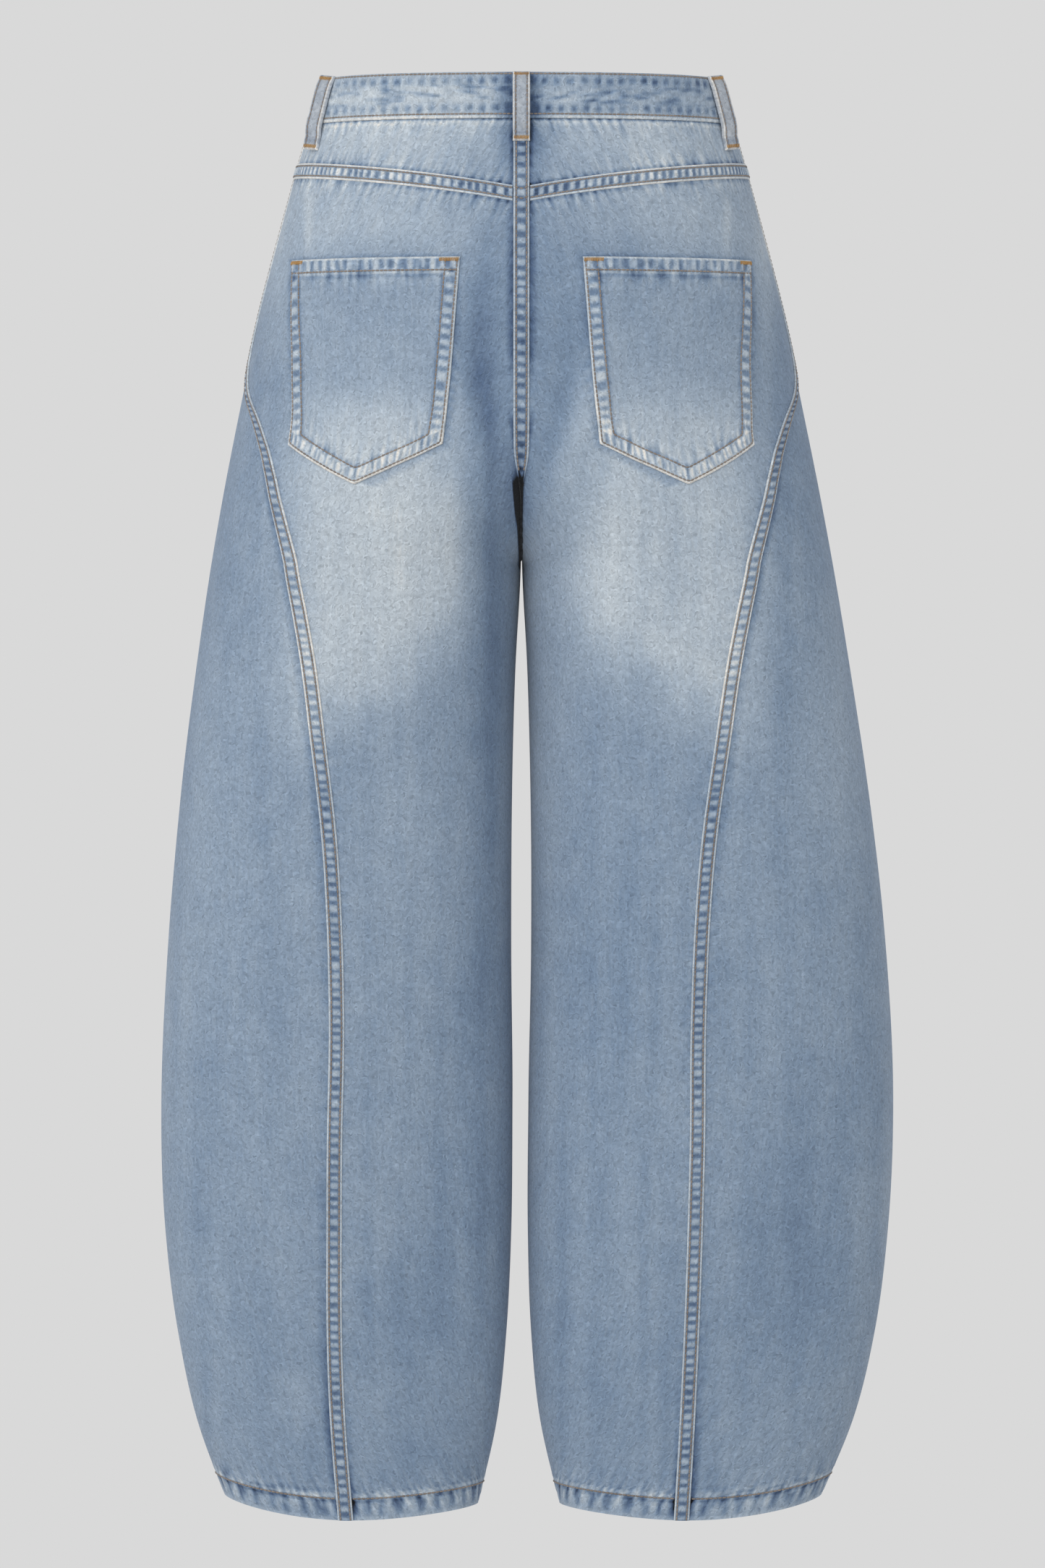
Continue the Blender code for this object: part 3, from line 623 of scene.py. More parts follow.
def new_finish(name, values):
    """A material, its nodes and its shader, with the shader's plain values set."""
    material = bpy.data.materials.new(name)
    material.use_nodes = True
    shader = material.node_tree.nodes["Principled BSDF"]
    for socket, value in values.items():
        shader.inputs[socket].default_value = value
    return material, material.node_tree, shader


def toned(tree, measure, tones):
    """The colour that a measure has on a scale of tones."""
    ramp = add_node(tree, "ShaderNodeValToRGB", {"Fac": measure})
    while len(ramp.color_ramp.elements) < len(tones):
        ramp.color_ramp.elements.new(0.5)
    for element, tone in zip(ramp.color_ramp.elements, tones):
        element.position = tone.wash
        element.color = paint(*tone.colour)
    return ramp.outputs[0]


def join_finish(tree, shader, colour, height, strength, distance):
    """Joins a colour and a bump to the shader."""
    tree.links.new(colour, shader.inputs["Base Color"])
    bump = {"Strength": strength, "Distance": distance, "Height": height}
    tree.links.new(add_node(tree, "ShaderNodeBump", bump).outputs[0], shader.inputs["Normal"])


def spot_noise(tree, scale, detail):
    """Noise in the piece's own space, for what has no cloth map."""
    place = add_node(tree, "ShaderNodeTexCoord", {}).outputs["Object"]
    return add_node(tree, "ShaderNodeTexNoise", {"Vector": place, "Scale": scale, "Detail": detail}).outputs[0]


def dyed_denim(name, tones):
    """Denim: dyed yarns washed out unevenly, with a fine twill and slubs down the cloth."""
    values = {"Roughness": 0.92, "Specular IOR Level": 0.2, "Sheen Weight": 0.12, "Sheen Roughness": 0.6}
    material, tree, shader = new_finish(name, values)
    cloth_map = add_node(tree, "ShaderNodeUVMap", {}, uv_map="cloth").outputs[0]

    curls = map_noise(tree, cloth_map, 360, 320, 0.0, 0.8)
    curl = sums(tree, "SINE", sums(tree, "MULTIPLY", curls, 13))
    curl = sums(tree, "MULTIPLY", curl, sums(tree, "POWER", map_noise(tree, cloth_map, 330, 330, 0.0), 2))
    grain = map_noise(tree, cloth_map, 1100, 900, 2.0)
    slub = map_noise(tree, cloth_map, 700, 45, 2.0)
    cloud = map_noise(tree, cloth_map, 60, 45, 3.0)
    turned = add_node(
        tree, "ShaderNodeMapping", {"Vector": cloth_map, "Rotation": (0, 0, math.radians(62))}
    ).outputs[0]
    waves = {"Vector": turned, "Scale": 390.0, "Distortion": 0.6}
    twill = add_node(tree, "ShaderNodeTexWave", waves).outputs[1]
    level_puckers = puckers(tree, cloth_map, "by_level", 290, 60, 7)
    upright_puckers = puckers(tree, cloth_map, "by_upright", 90, 190, 4)
    pucker = sums(tree, "MULTIPLY_ADD", upright_puckers, 0.25, level_puckers)

    tone = sums(tree, "MULTIPLY_ADD", pucker, 0.9, read_attribute(tree, "wash"))
    for part, share in ((slub, 0.12), (cloud, 0.12)):
        tone = sums(tree, "MULTIPLY_ADD", sums(tree, "SUBTRACT", part, 0.5), share, tone)
    shade = sums(tree, "MULTIPLY_ADD", curl, 0.42, 0.8)
    for part, share in ((grain, 0.34), (twill, 0.06)):
        shade = sums(tree, "MULTIPLY_ADD", part, share, shade)
    shaded = {"Vector": toned(tree, tone, tones), "Scale": shade}
    dyed = add_node(tree, "ShaderNodeVectorMath", shaded, operation="SCALE").outputs[0]

    height = sums(tree, "MULTIPLY_ADD", curl, 1.1, sums(tree, "MULTIPLY", grain, 0.4))
    height = sums(tree, "MULTIPLY_ADD", twill, 0.1, height)
    height = sums(tree, "MULTIPLY_ADD", pucker, 2.0, height)
    join_finish(tree, shader, dyed, height, 0.4, 0.0006)
    return material


garment = bpy.data.collections.new("barrel_leg_trousers")
bpy.context.scene.collection.children.link(garment)
denim_face = dyed_denim("denim_face", INDIGO_TONES)
denim_inside = dyed_denim("denim_inside", INSIDE_TONES)

BACK_COLUMNS, BACK_ROWS, HEM_ROWS, HEM_SHARE = 52, 420, 16, 0.974
LEG_STEPS = (*np.linspace(0, HEM_SHARE, BACK_ROWS), *np.linspace(HEM_SHARE, 1, HEM_ROWS)[1:])
HEM_PITCH, HEM_LEAN, STREAK_PITCH, STREAK_LEAN = 11.4, 0.05, 5.2, 0.9

# The back pocket, as the back is marked for it. Places on it are millimetres round from the centre back.
POCKET_TOP, POCKET_CORNER, POCKET_TIP = 127.5, 255.0, 282.5
POCKET_INNER_TOP, POCKET_OUTER_TOP = 41.5, 177.0
POCKET_INNER_CORNER, POCKET_OUTER_CORNER = 52.0, 156.0
POCKET_SIDE_BOW, POCKET_TIP_SHARE = 3.0, 0.51
POCKET_SLOPE = math.atan2(POCKET_TIP - POCKET_CORNER, (POCKET_OUTER_CORNER - POCKET_INNER_CORNER) / 2)


def pocket_bottom(share):
    to_tip = np.minimum(share / POCKET_TIP_SHARE, (1 - share) / (1 - POCKET_TIP_SHARE))
    return POCKET_CORNER + (POCKET_TIP - POCKET_CORNER) * to_tip


def pocket_sides(depth):
    """How far from the centre back a pocket's two sides lie at a depth."""
    down = np.clip((depth - POCKET_TOP) / (POCKET_CORNER - POCKET_TOP), 0, 1)
    inner = POCKET_INNER_TOP + (POCKET_INNER_CORNER - POCKET_INNER_TOP) * down
    outer = POCKET_OUTER_TOP + (POCKET_OUTER_CORNER - POCKET_OUTER_TOP) * down
    return inner, outer + POCKET_SIDE_BOW * np.sin(np.pi * down)


def out_of_pocket(distance, depth):
    """Millimetres out from the pocket's edge, and less than nothing under the pocket."""
    inner, outer = pocket_sides(depth)
    share = np.clip((distance - inner) / (outer - inner), 0, 1)
    below = (depth - pocket_bottom(share)) * math.cos(POCKET_SLOPE)
    return np.maximum.reduce([inner - distance, distance - outer, POCKET_TOP - depth, below])


def from_outseam(side, angle, depth):
    """Millimetres from the outseam, along the level: positive towards the back."""
    return round_cloth(side, angle, depth) - round_cloth(side, outseam(side, depth), depth)


def from_seat_seam(side, angle, depth):
    """Millimetres from the centre back, along the level."""
    return round_cloth(side, math.pi + 0 * depth, depth) - round_cloth(side, angle, depth)


def hem_wall(side, angle, depth, share, step):
    """The inner face: one layer down the leg, and the turned-up edge at the hem."""
    return -CLOTH - HEM_FOLD * ease(depth, hem_line(angle) - HEM - 1, hem_line(angle) - HEM + 1)


def hem_roping(side, angle, depth):
    """Dimples under the hem's stitching that fade to its edge, and short slanting streaks above it."""
    up = hem_line(angle) - depth
    above = np.maximum(up - HEM, 0)
    run = from_outseam(side, angle, depth)
    under = ease(up, 0, 7) * (1 - ease(up, HEM - 1.2, HEM - 0.2))
    over = 0.6 * ease(above, 0.6, 2) * (1 - ease(above, 3, 9))
    dimples = rope(run, up, HEM_PITCH, HEM_LEAN, 11) * under
    return dimples + rope(run, above, STREAK_PITCH, STREAK_LEAN, 13) * over


def hem_shade(side, angle, depth):
    """The hem is darkest in the hollows under its stitching."""
    up = hem_line(angle) - depth
    turned_up = 0.02 * (1 - ease(up, HEM - 1, HEM)) + 0.12 * (1 - ease(up, 0.5, 4))
    beside_row = 0.18 * hump(up - HEM - 1.8, 1.1) - 0.16 * hump(up - HEM + 1.6, 1.3)
    roping = hem_roping(side, angle, depth)
    return 0.15 * roping + 0.06 * np.minimum(roping, 0) + turned_up + beside_row


def panel_looks(side, angle, depth, top_gap, seam_gap, extra):
    """What a leg panel's finish reads, from its distances to its top seam and its upright seams."""
    u = side * round_cloth(side, angle, depth) * MM
    edge = BAND_WIDTH / 2
    # Painted shadow beside the seam bands and below the band or waistband at the top.
    painted_edge_shade = hump(seam_gap - edge - 0.2, 0.9) + hump(top_gap - edge - 0.3, 1.2)
    wash = washed_and_shaded(side, angle, depth) + hem_shade(side, angle, depth) - 0.24 * painted_edge_shade + extra
    level = np.minimum(top_gap - edge, np.abs(hem_line(angle) - HEM - depth))
    return Looks(u, -depth * MM, wash, np.maximum(level, 0), np.maximum(seam_gap - edge, 0))


def back_looks(side, angle, depth, share, step):
    to_seat = np.abs(from_seat_seam(side, angle, depth))
    to_band = to_seat + FAR * ease(depth, CLEFT_TOP - 4, CLEFT_TOP + 12)
    seams = np.minimum(np.abs(from_outseam(side, angle, depth)), to_band)
    # Painted shadow just outside the pocket's edges.
    pocket_shadow = -0.16 * hump(np.maximum(out_of_pocket(to_seat, depth) - 0.6, 0), 1.3)
    return panel_looks(side, angle, depth, depth - yoke_line(share), seams, pocket_shadow)


for half, word in HALVES:
    back = lay_wall(
        f"denim_back_{word}",
        np.linspace(0, 1, BACK_COLUMNS),
        LEG_STEPS,
        leg_place(half, back_angle, lambda share: yoke_line(share) + SEAM_GAP / 2),
        lambda side, angle, depth, share, step: 0.3 * hem_roping(side, angle, depth),
        hem_wall,
        back_looks,
        (denim_face, denim_inside),
    )
    dress(back, "leg_denim", *[f"back_{word}_{stretch}" for stretch in STRETCHES])


# Back yokes
# A shaped strip of the same denim on each side, between the waistband and the back. It takes in the hips.
YOKE_COLUMNS, YOKE_ROWS = 90, 26


def yoke_place(side):
    top = WAISTBAND + SEAM_GAP / 2

    def place(share, step):
        depth = top + (yoke_line(share) - SEAM_GAP / 2 - top) * step
        return side, back_angle(side, share, depth), depth

    return place


def yoke_looks(side, angle, depth, share, step):
    u = side * round_cloth(side, angle, depth) * MM
    to_top = depth - WAISTBAND
    to_seam = yoke_line(share) - depth - BAND_WIDTH / 2
    to_seat = np.abs(from_seat_seam(side, angle, depth)) - BAND_WIDTH / 2
    # Painted shadow under the waistband's edge and beside the bands of the yoke seam and the seat seam.
    painted_edge_shade = hump(to_top, 1.2) * 1.6 + hump(to_seam - 0.4, 1.5) + hump(to_seat - 0.4, 1.5)
    run = round_cloth(side, angle, depth)
    pale = hump(to_top - 2.4 - 1.2 * uneven(run, 0, 3, 1, 33), 1.3)
    wash = washed_and_shaded(side, angle, depth) - 0.22 * painted_edge_shade + 0.16 * pale
    return Looks(u, -depth * MM, wash, np.maximum(np.minimum(to_top, to_seam), 0), np.maximum(to_seat, 0))


for half, word in HALVES:
    yoke = lay_wall(
        f"denim_yoke_{word}",
        np.linspace(0, 1, YOKE_COLUMNS),
        np.linspace(0, 1, YOKE_ROWS),
        yoke_place(half),
        lambda side, angle, depth, share, step: 0.25 * uneven(
            round_cloth(side, angle, depth), depth, 4, 22, 31
        ) * np.exp(-(depth - WAISTBAND) / 7),
        -CLOTH,
        yoke_looks,
        (denim_face, denim_inside),
    )
    dress(yoke, "yoke_denim", f"yoke_{word}")


# Front panels
# Each front is one piece from the waistband to the hem, and it runs round the outer side of the leg to the
# outseam at the back. The left front's edge laps over the right one at the fly.
LAP_REACH = 6.0
FLY_END, FLY_ROUND, FLY_SETTLE, FLY_RISE = 186.0, 20.0, 14.0, 1.5
FLY_FLAT_TO, FLY_DOWN_AT = 1.5, 9.0
FRONT_SHARES = (*np.linspace(0, 0.05, 10), *np.linspace(0.05, 1, 84)[1:])
FRONT_STEPS = (*np.linspace(0, HEM_SHARE, 396), *np.linspace(HEM_SHARE, 1, HEM_ROWS)[1:])


def front_angle(side, share, depth):
    """From 0 at the centre front or the inseam to 1 at the outseam. The left front laps over at the fly."""
    lap = LAP_REACH * (1 - ease(depth, FLY_END - FLY_ROUND, FLY_END)) if side == LEFT else 0
    start = -math.pi + inseam_inset(side, depth) - lap / per_radian(side, -math.pi, depth)
    end = outseam(side, depth) - SEAM_GAP / 2 / per_radian(side, outseam(side, depth), depth)
    return start + (end - start) * share


def fly_lift(side, angle, depth):
    """The left front's edge lies over the right front beside the fly."""
    if side == RIGHT:
        return np.zeros(np.shape(depth))
    from_centre = side * cloth_face(side, angle, depth)[..., 0]
    settled = ease(depth, FLY_END, FLY_END + FLY_SETTLE)
    return FLY_RISE * (1 - settled) * (1 - ease(from_centre, FLY_FLAT_TO, FLY_DOWN_AT))


def front_looks(side, angle, depth, share, step):
    top_gap = depth - WAISTBAND + BAND_WIDTH / 2
    edge_wear = 0.16 * hump(share, 0.004) * (1 - ease(depth, FLY_END - FLY_ROUND, FLY_END)) * (side == LEFT)
    return panel_looks(side, angle, depth, top_gap, np.abs(from_outseam(side, angle, depth)), edge_wear)


for half, word in HALVES:
    front = lay_wall(
        f"denim_front_{word}",
        FRONT_SHARES,
        FRONT_STEPS,
        leg_place(half, front_angle, lambda share: WAISTBAND + SEAM_GAP / 2),
        lambda side, angle, depth, share, step: fly_lift(side, angle, depth)
        + 0.3 * hem_roping(side, angle, depth),
        lambda *here: hem_wall(*here) + fly_lift(*here[:3]),
        front_looks,
        (denim_face, denim_inside),
    )
    dress(front, "leg_denim", *[f"front_{word}_{stretch}" for stretch in STRETCHES])


# Felled seams
# The outseams, yoke seams and seat seam are felled: each is a doubled strip of denim held by two rows of
# thread, which have shrunk, so that the strip puckers between them and rubs white along its edges.
STITCH_FROM_MIDDLE = 3.4
BAND_ROW = 1.4
BAND_EDGE = 0.85
BAND_COLUMNS = np.array([0, 0.3, 0.8, 1.4, 1.9, 2.4, 3.5, 4.4]) / BAND_WIDTH
BAND_COLUMNS = (*BAND_COLUMNS, 0.5, *(1 - BAND_COLUMNS[::-1]))
STITCH_PITCH, STITCH_LONG, STITCH_THICK, TACK_THICK = 3.0, 3.1, 1.35, 0.8
THREAD_ROWS, THREAD_OUT = (-STITCH_FROM_MIDDLE, STITCH_FROM_MIDDLE), 1.28


def thread_finish(name, colour, dark):
    """Cotton thread: fine twisted strands, washed unevenly."""
    material, tree, shader = new_finish(name, {"Roughness": 0.75, "Sheen Weight": 0.1})
    strand = spot_noise(tree, 2600.0, 1.0)
    washed = sums(tree, "MULTIPLY", spot_noise(tree, 90.0, 3.0), 0.5)
    mixed = sums(tree, "MULTIPLY_ADD", strand, 0.5, washed)
    colours = toned(tree, mixed, (Tone(0.35, dark), Tone(0.65, colour)))
    join_finish(tree, shader, colours, strand, 0.5, 0.0001)
    return material


tan_thread = thread_finish("tan_thread", (160, 148, 138), (116, 106, 99))
ochre_thread = thread_finish("ochre_thread", (206, 164, 104), (160, 120, 70))


def run_along(path):
    """How far each point of a path lies along it."""
    return np.concatenate([[0], np.cumsum(np.linalg.norm(np.diff(path, axis=0), axis=1))])


def stitch_row(side, angle, depth, out, pitch=STITCH_PITCH, length=STITCH_LONG):
    """The two ends and the outward direction of each stitch along a path on the garment."""
    path = on_cloth(side, angle, depth, out)
    normals = by_half(outward, side, angle, depth)
    run = run_along(path)
    count = max(int(run[-1] / (pitch * MM)), 1)
    middle = (np.arange(count) + 0.5) * run[-1] / count
    half = length / 2 * MM

    def read(values, at):
        return np.stack([np.interp(at, run, values[:, k]) for k in range(3)], axis=-1)

    return read(path, middle - half), read(path, middle + half), read(normals, middle)


def tack_row(side, angle, depth, out, across, pitch=0.9):
    """Close stitches that stand square to their row, for a bar tack."""
    start, end, normal = stitch_row(side, angle, depth, out, pitch, 0.6)
    direction = end - start
    direction /= np.linalg.norm(direction, axis=1, keepdims=True)
    square = np.cross(normal, direction) * across / 2 * MM
    lean = direction * 0.25 * MM
    return (start + end) / 2 - square - lean, (start + end) / 2 + square + lean, normal


def sew(name, finish, thick, rows, nodes, slot):
    """All the stitches of some rows as one piece: each is a short rounded strand that dips at its ends."""
    bm = bmesh.new()
    bmesh.ops.create_uvsphere(bm, u_segments=6, v_segments=4, radius=1)
    bmesh.ops.triangulate(bm, faces=bm.faces[:])
    bm.verts.index_update()
    strand = np.array([vert.co for vert in bm.verts])
    strand_faces = np.array([[vert.index for vert in face.verts] for face in bm.faces])
    bm.free()
    start, end, normal = (np.concatenate([row[k] for row in rows])[:, None] for k in range(3))
    lengthwise = (end - start) / 2
    sideways = np.cross(lengthwise, normal)
    sideways /= np.linalg.norm(sideways, axis=-1, keepdims=True)
    reach = np.sign(strand[:, 2]) * np.abs(strand[:, 2]) ** 0.7
    radius = thick / 2 * MM
    points = (start + end) / 2 + lengthwise * reach[:, None]
    points = points + sideways * radius * strand[:, 0, None]
    points = points + normal * radius * (strand[:, 1, None] * 0.8 - 0.35 * reach[:, None] ** 4)
    faces = (strand_faces + np.arange(len(start))[:, None, None] * len(strand)).reshape(-1, 3)
    mesh = bpy.data.meshes.new(name)
    mesh.from_pydata(points.reshape(-1, 3).tolist(), [], faces.tolist())
    mesh.materials.append(finish)
    mesh.shade_smooth()
    piece = bpy.data.objects.new(name, mesh)
    garment.objects.link(piece)
    dress(piece, slot, *nodes)
    return piece


def spaced(side, angle_of, top, bottom, step):
    """Depths that lie equally far apart along a path down the garment, and its length."""
    depths = np.linspace(top, bottom, 1500)
    path = cloth_face(side, angle_of(side, depths), depths)
    run = run_along(path)
    return np.interp(np.linspace(0, run[-1], int(run[-1] / step)), run, depths), run[-1]


def band_height(from_middle, roping):
    """How far a felled seam stands off the cloth: round at its edges and drawn in at its stitches."""
    to_edge = np.maximum(BAND_WIDTH / 2 - np.abs(from_middle), 0)
    rounded = round_edge(to_edge, BAND_EDGE)
    between = 1 - ease(np.abs(from_middle), 2.2, 3.3)
    drawn = hump(np.abs(from_middle) - STITCH_FROM_MIDDLE, 0.7)
    return 0.5 + 0.85 * rounded - 0.28 * drawn + between * (0.1 + 0.3 * roping)


def band_shade(from_middle, roping, contrast):
    """White along the rubbed edges, dark at the stitches, and pale and dark by turns between them."""
    away = np.abs(from_middle)
    between = 1 - ease(away, 2.1, 3.1)
    rubbed = 0.33 * ease(away, 4.0, 4.5) - 0.12 * hump(away - STITCH_FROM_MIDDLE, 0.9)
    return rubbed + between * (0.02 + contrast * (roping - 0.3 * np.maximum(roping, 0)))


def lay_band(name, node, columns, steps, place, across, run, pitch, slant, contrast, seed, cleft_shadowed=0):
    """A felled seam. across and run give millimetres from its middle and along it, from a place on it."""

    def roping(*here):
        return rope(run(*here), across(*here), pitch, slant, seed)

    def looks(*here):
        # Down in the cleft, painted shadow takes the place of the band's own pattern.
        dark = valued(cleft_shadowed, here)
        shade = band_shade(across(*here), roping(*here), contrast) * (1 - dark) + CLEFT_SHADOW * dark
        wash = washed_and_shaded(*here[:3]) + shade
        return Looks(across(*here) * MM, run(*here) * MM, wash, FAR, 2.5 + np.abs(across(*here)))

    band = lay_wall(
        name,
        columns,
        steps,
        place,
        lambda *here: band_height(across(*here), roping(*here)),
        0.15,
        looks,
        (denim_face, denim_face),
    )
    dress(band, "seam_denim", node)


def band_across(side, angle, depth, share, step):
    return BAND_WIDTH * (share - 0.5)


def lay_outseam(side, word):
    depths, length = spaced(side, outseam, WAISTBAND + 1, LENGTH, BAND_ROW)
    runs = np.linspace(0, length, len(depths))

    def place(share, depth):
        angle = beside(side, outseam(side, depth), depth, BAND_WIDTH * (share - 0.5))
        return side, angle, np.minimum(depth, hem_line(angle))

    def run(side, angle, depth, share, step):
        return np.interp(step, depths, runs)

    lay_band(
        f"felled_outseam_{word}", f"outseam_{word}", BAND_COLUMNS, depths, place, band_across, run,
        6.4, 0, 0.22, 51,
    )
    rows = []
    for row in THREAD_ROWS:
        angle = beside(side, outseam(side, depths), depths, row)
        rows.append(stitch_row(side, angle, depths, THREAD_OUT))
    sew(f"thread_outseam_{word}", tan_thread, STITCH_THICK, rows, [f"outseam_{word}"], "seam_denim")


def lay_yoke_seam(side, word):
    clear = BAND_WIDTH / 2 + SEAM_GAP * 2
    length = round_cloth(side, math.pi, YOKE_CENTRE) - round_cloth(side, outseam(side, YOKE_SIDE), YOKE_SIDE)
    length -= 2 * clear

    def place(step, share):
        depth = yoke_line(step)
        for _ in range(4):
            start = beside(side, outseam(side, depth), depth, clear)
            end = from_centre_back(side, depth, clear)
            angle = start + (end - start) * step
            seam_share = (angle - outseam(side, depth)) / (math.pi - outseam(side, depth))
            depth = yoke_line(seam_share) + BAND_WIDTH * (share - 0.5)
        return side, angle, depth

    lay_band(
        f"felled_yoke_seam_{word}", f"yoke_seam_{word}",
        np.linspace(0, 1, int(length / BAND_ROW)), BAND_COLUMNS, place,
        lambda side, angle, depth, step, share: BAND_WIDTH * (share - 0.5),
        lambda side, angle, depth, step, share: length * step,
        5.6, 0.1 * side, 0.34, 61 + side,
    )
    rows = []
    for row in THREAD_ROWS:
        step = np.linspace(0, 1, 160)
        rows.append(stitch_row(*place(step, 0.5 + row / BAND_WIDTH), THREAD_OUT))
    sew(f"thread_yoke_seam_{word}", tan_thread, STITCH_THICK, rows, [f"yoke_seam_{word}"], "seam_denim")


def seat_angle(side, depth):
    return math.pi + 0 * depth


for half, word in HALVES:
    lay_outseam(half, word)
    lay_yoke_seam(half, word)

SEAT_SEAM_END, SEAT_SEAM_TAPER, SEAT_THREAD_END = 331.0, 0.8, 273.0
seat_depths, seat_length = spaced(LEFT, seat_angle, WAISTBAND + 1, SEAT_SEAM_END, BAND_ROW)


def seat_place(share, depth):
    distance = (share - 0.5) * BAND_WIDTH * (1 - SEAT_SEAM_TAPER * ease(depth, 256, 292))
    side = np.where(distance < 0, RIGHT, LEFT)
    return side, by_half(from_centre_back, side, depth, np.abs(distance)), depth


# The seat seam runs down into the cleft, where it is painted with the cleft's shadow.
lay_band(
    "felled_seat_seam", "seat_seam", BAND_COLUMNS, seat_depths, seat_place,
    band_across, lambda side, angle, depth, share, step: depth,
    7.6, 0.15, 0.22, 71,
    lambda side, angle, depth, share, step: cleft_shadow_share(depth),
)
thread_depths = seat_depths[seat_depths < SEAT_THREAD_END]
seat_rows = [
    stitch_row(*seat_place(0.5 + row / BAND_WIDTH + 0 * thread_depths, thread_depths), THREAD_OUT)
    for row in THREAD_ROWS
]
for row in THREAD_ROWS:
    crossing = np.linspace(0.04, 0.96, 40)
    crossing_depth = YOKE_CENTRE + row - 5 * np.abs(crossing - 0.5)
    seat_rows.append(stitch_row(*seat_place(crossing, crossing_depth), 1.5))
sew("thread_seat_seam", tan_thread, STITCH_THICK, seat_rows, ["seat_seam"], "seam_denim")


# Hem stitching
# One row of tan thread holds the turned-up hem of each leg, 15 mm above its edge. It runs round the back and
# the front, clear of the outseam's band.
for half, word in HALVES:
    at_outseam = outseam(half, np.array(LENGTH - HEM))
    clear = (BAND_WIDTH / 2 + 0.6) / per_radian(half, at_outseam, LENGTH - HEM)
    back_angles = np.linspace(at_outseam + clear, math.pi - 0.01, 200)
    front_angles = np.linspace(-math.pi + 0.01, at_outseam - clear, 400)
    for panel, angles in (("back", back_angles), ("front", front_angles)):
        row, name = stitch_row(half, angles, hem_line(angles) - HEM, 0.2), f"{panel}_{word}"
        sew(f"thread_hem_{name}", tan_thread, STITCH_THICK, [row], [f"{name}_shin"], "leg_denim")


# Fly stitching
# Two rows of tan thread hold the fly's facing behind the left front. They run down from the waistband and
# curve in to the front seam below the zip.
FLY_WIDE, FLY_CURVE_FROM, FLY_ROWS = 34.0, 140.0, (0.0, 5.0)
turned_in = np.linspace(0, math.pi / 2, 60)
rows = []
for inset in FLY_ROWS:
    reach, drop = FLY_WIDE - inset, FLY_END - inset - FLY_CURVE_FROM
    from_centre = np.concatenate([np.full(40, reach), reach * np.cos(turned_in)])
    straight = np.linspace(WAISTBAND + 2, FLY_CURVE_FROM, 40)
    depth = np.concatenate([straight, FLY_CURVE_FROM + drop * np.sin(turned_in)])
    angle = beside(LEFT, np.full(100, -math.pi), depth, np.maximum(from_centre, 1))
    rows.append(stitch_row(LEFT, angle, depth, fly_lift(LEFT, angle, depth) + 0.25))
sew("thread_fly", tan_thread, STITCH_THICK, rows, ["front_left_hip"], "leg_denim")


# Waistband
# One doubled strip round the waist, from its plain end behind the centre front to its lapped end. A row of
# thread runs close to each edge, and the strip has shrunk into dark dimples along both rows.
BAND_OUT, BAND_IN = 1.0, -1.8
UNDERLAP_REACH = 30.0
UNDERLAP_SINK = BAND_OUT - BAND_IN + SEAM_GAP
SINK_FROM, SINK_TO = 22.0, 9.0
WAIST_TALL = WAISTBAND - SEAM_GAP / 2
WAIST_STITCH_TOP, WAIST_STITCH_BOTTOM = 1.3, 29.0
WAIST_ROWS = (0, 0.4, 1, 1.7, 2.4, *np.linspace(3.4, 28, 22), 28.7, 29.2, 29.9, 30.6, 31.3, WAIST_TALL)
DIMPLE_PITCH, DIMPLES = 8.6, (6.0, 25.0)


def waist_turn(from_front):
    """The turn of a place that many millimetres short of the centre front, in degrees."""
    return 180 - math.degrees(from_front / LEVELS[0].outer)


def waist_place(turn, depth):
    """Turns are in degrees from the centre back, positive to the wearer's left."""
    side = np.where(turn < 0, RIGHT, LEFT)
    return side, math.pi - 2 * np.radians(np.abs(turn)), depth


def waist_run(side, angle, depth):
    """Millimetres round the waist from the centre back."""
    return side * by_half(from_seat_seam, side, angle, depth)


def underlap(side, angle, depth):
    """How far the plain end of the waistband sinks in behind the lapped one."""
    turn = np.degrees(math.pi - angle) / 2
    return np.where(side < 0, UNDERLAP_SINK * ease(turn, waist_turn(SINK_FROM), waist_turn(SINK_TO)), 0)


def waist_crinkle(run, depth):
    """Long flat creases along the middle of the waistband, slanting a little."""
    middle = ease(depth, 7, 11) * (1 - ease(depth, 20, 24))
    creases = uneven(run, depth + 0.12 * np.abs(run), 12, 2.3, 81) + 0.5 * uneven(run, depth, 5, 1.8, 82)
    return creases * middle


def waist_dimples(run, depth):
    """The rows of dimples beside the stitching, from 0 to 1."""
    dimples = np.zeros(np.broadcast(run, depth).shape)
    for k, row in enumerate(DIMPLES):
        beat = np.cos(2 * np.pi * run / DIMPLE_PITCH + 1.5 * uneven(run, 0, 26, 1, 83 + k))
        strength = 0.68 + 0.32 * uneven(run, 0, 15, 1, 87 + k)
        dimples += ease(beat, -0.8, 0.7) * hump(depth - row + 0.7 * uneven(run, 0, 7, 1, 89), 2.6) * strength
    return dimples


def waist_outer(side, angle, depth, share, step):
    run = waist_run(side, angle, depth)
    to_edge = np.minimum(depth, WAIST_TALL - depth)
    rounded = round_edge(to_edge, 1.0)
    drawn = hump(depth - WAIST_STITCH_TOP, 0.7) + hump(depth - WAIST_STITCH_BOTTOM, 0.7)
    height = 0.25 + 0.75 * rounded - 0.25 * drawn - 0.3 * waist_dimples(run, depth)
    return height + 0.28 * waist_crinkle(run, depth) - underlap(side, angle, depth)


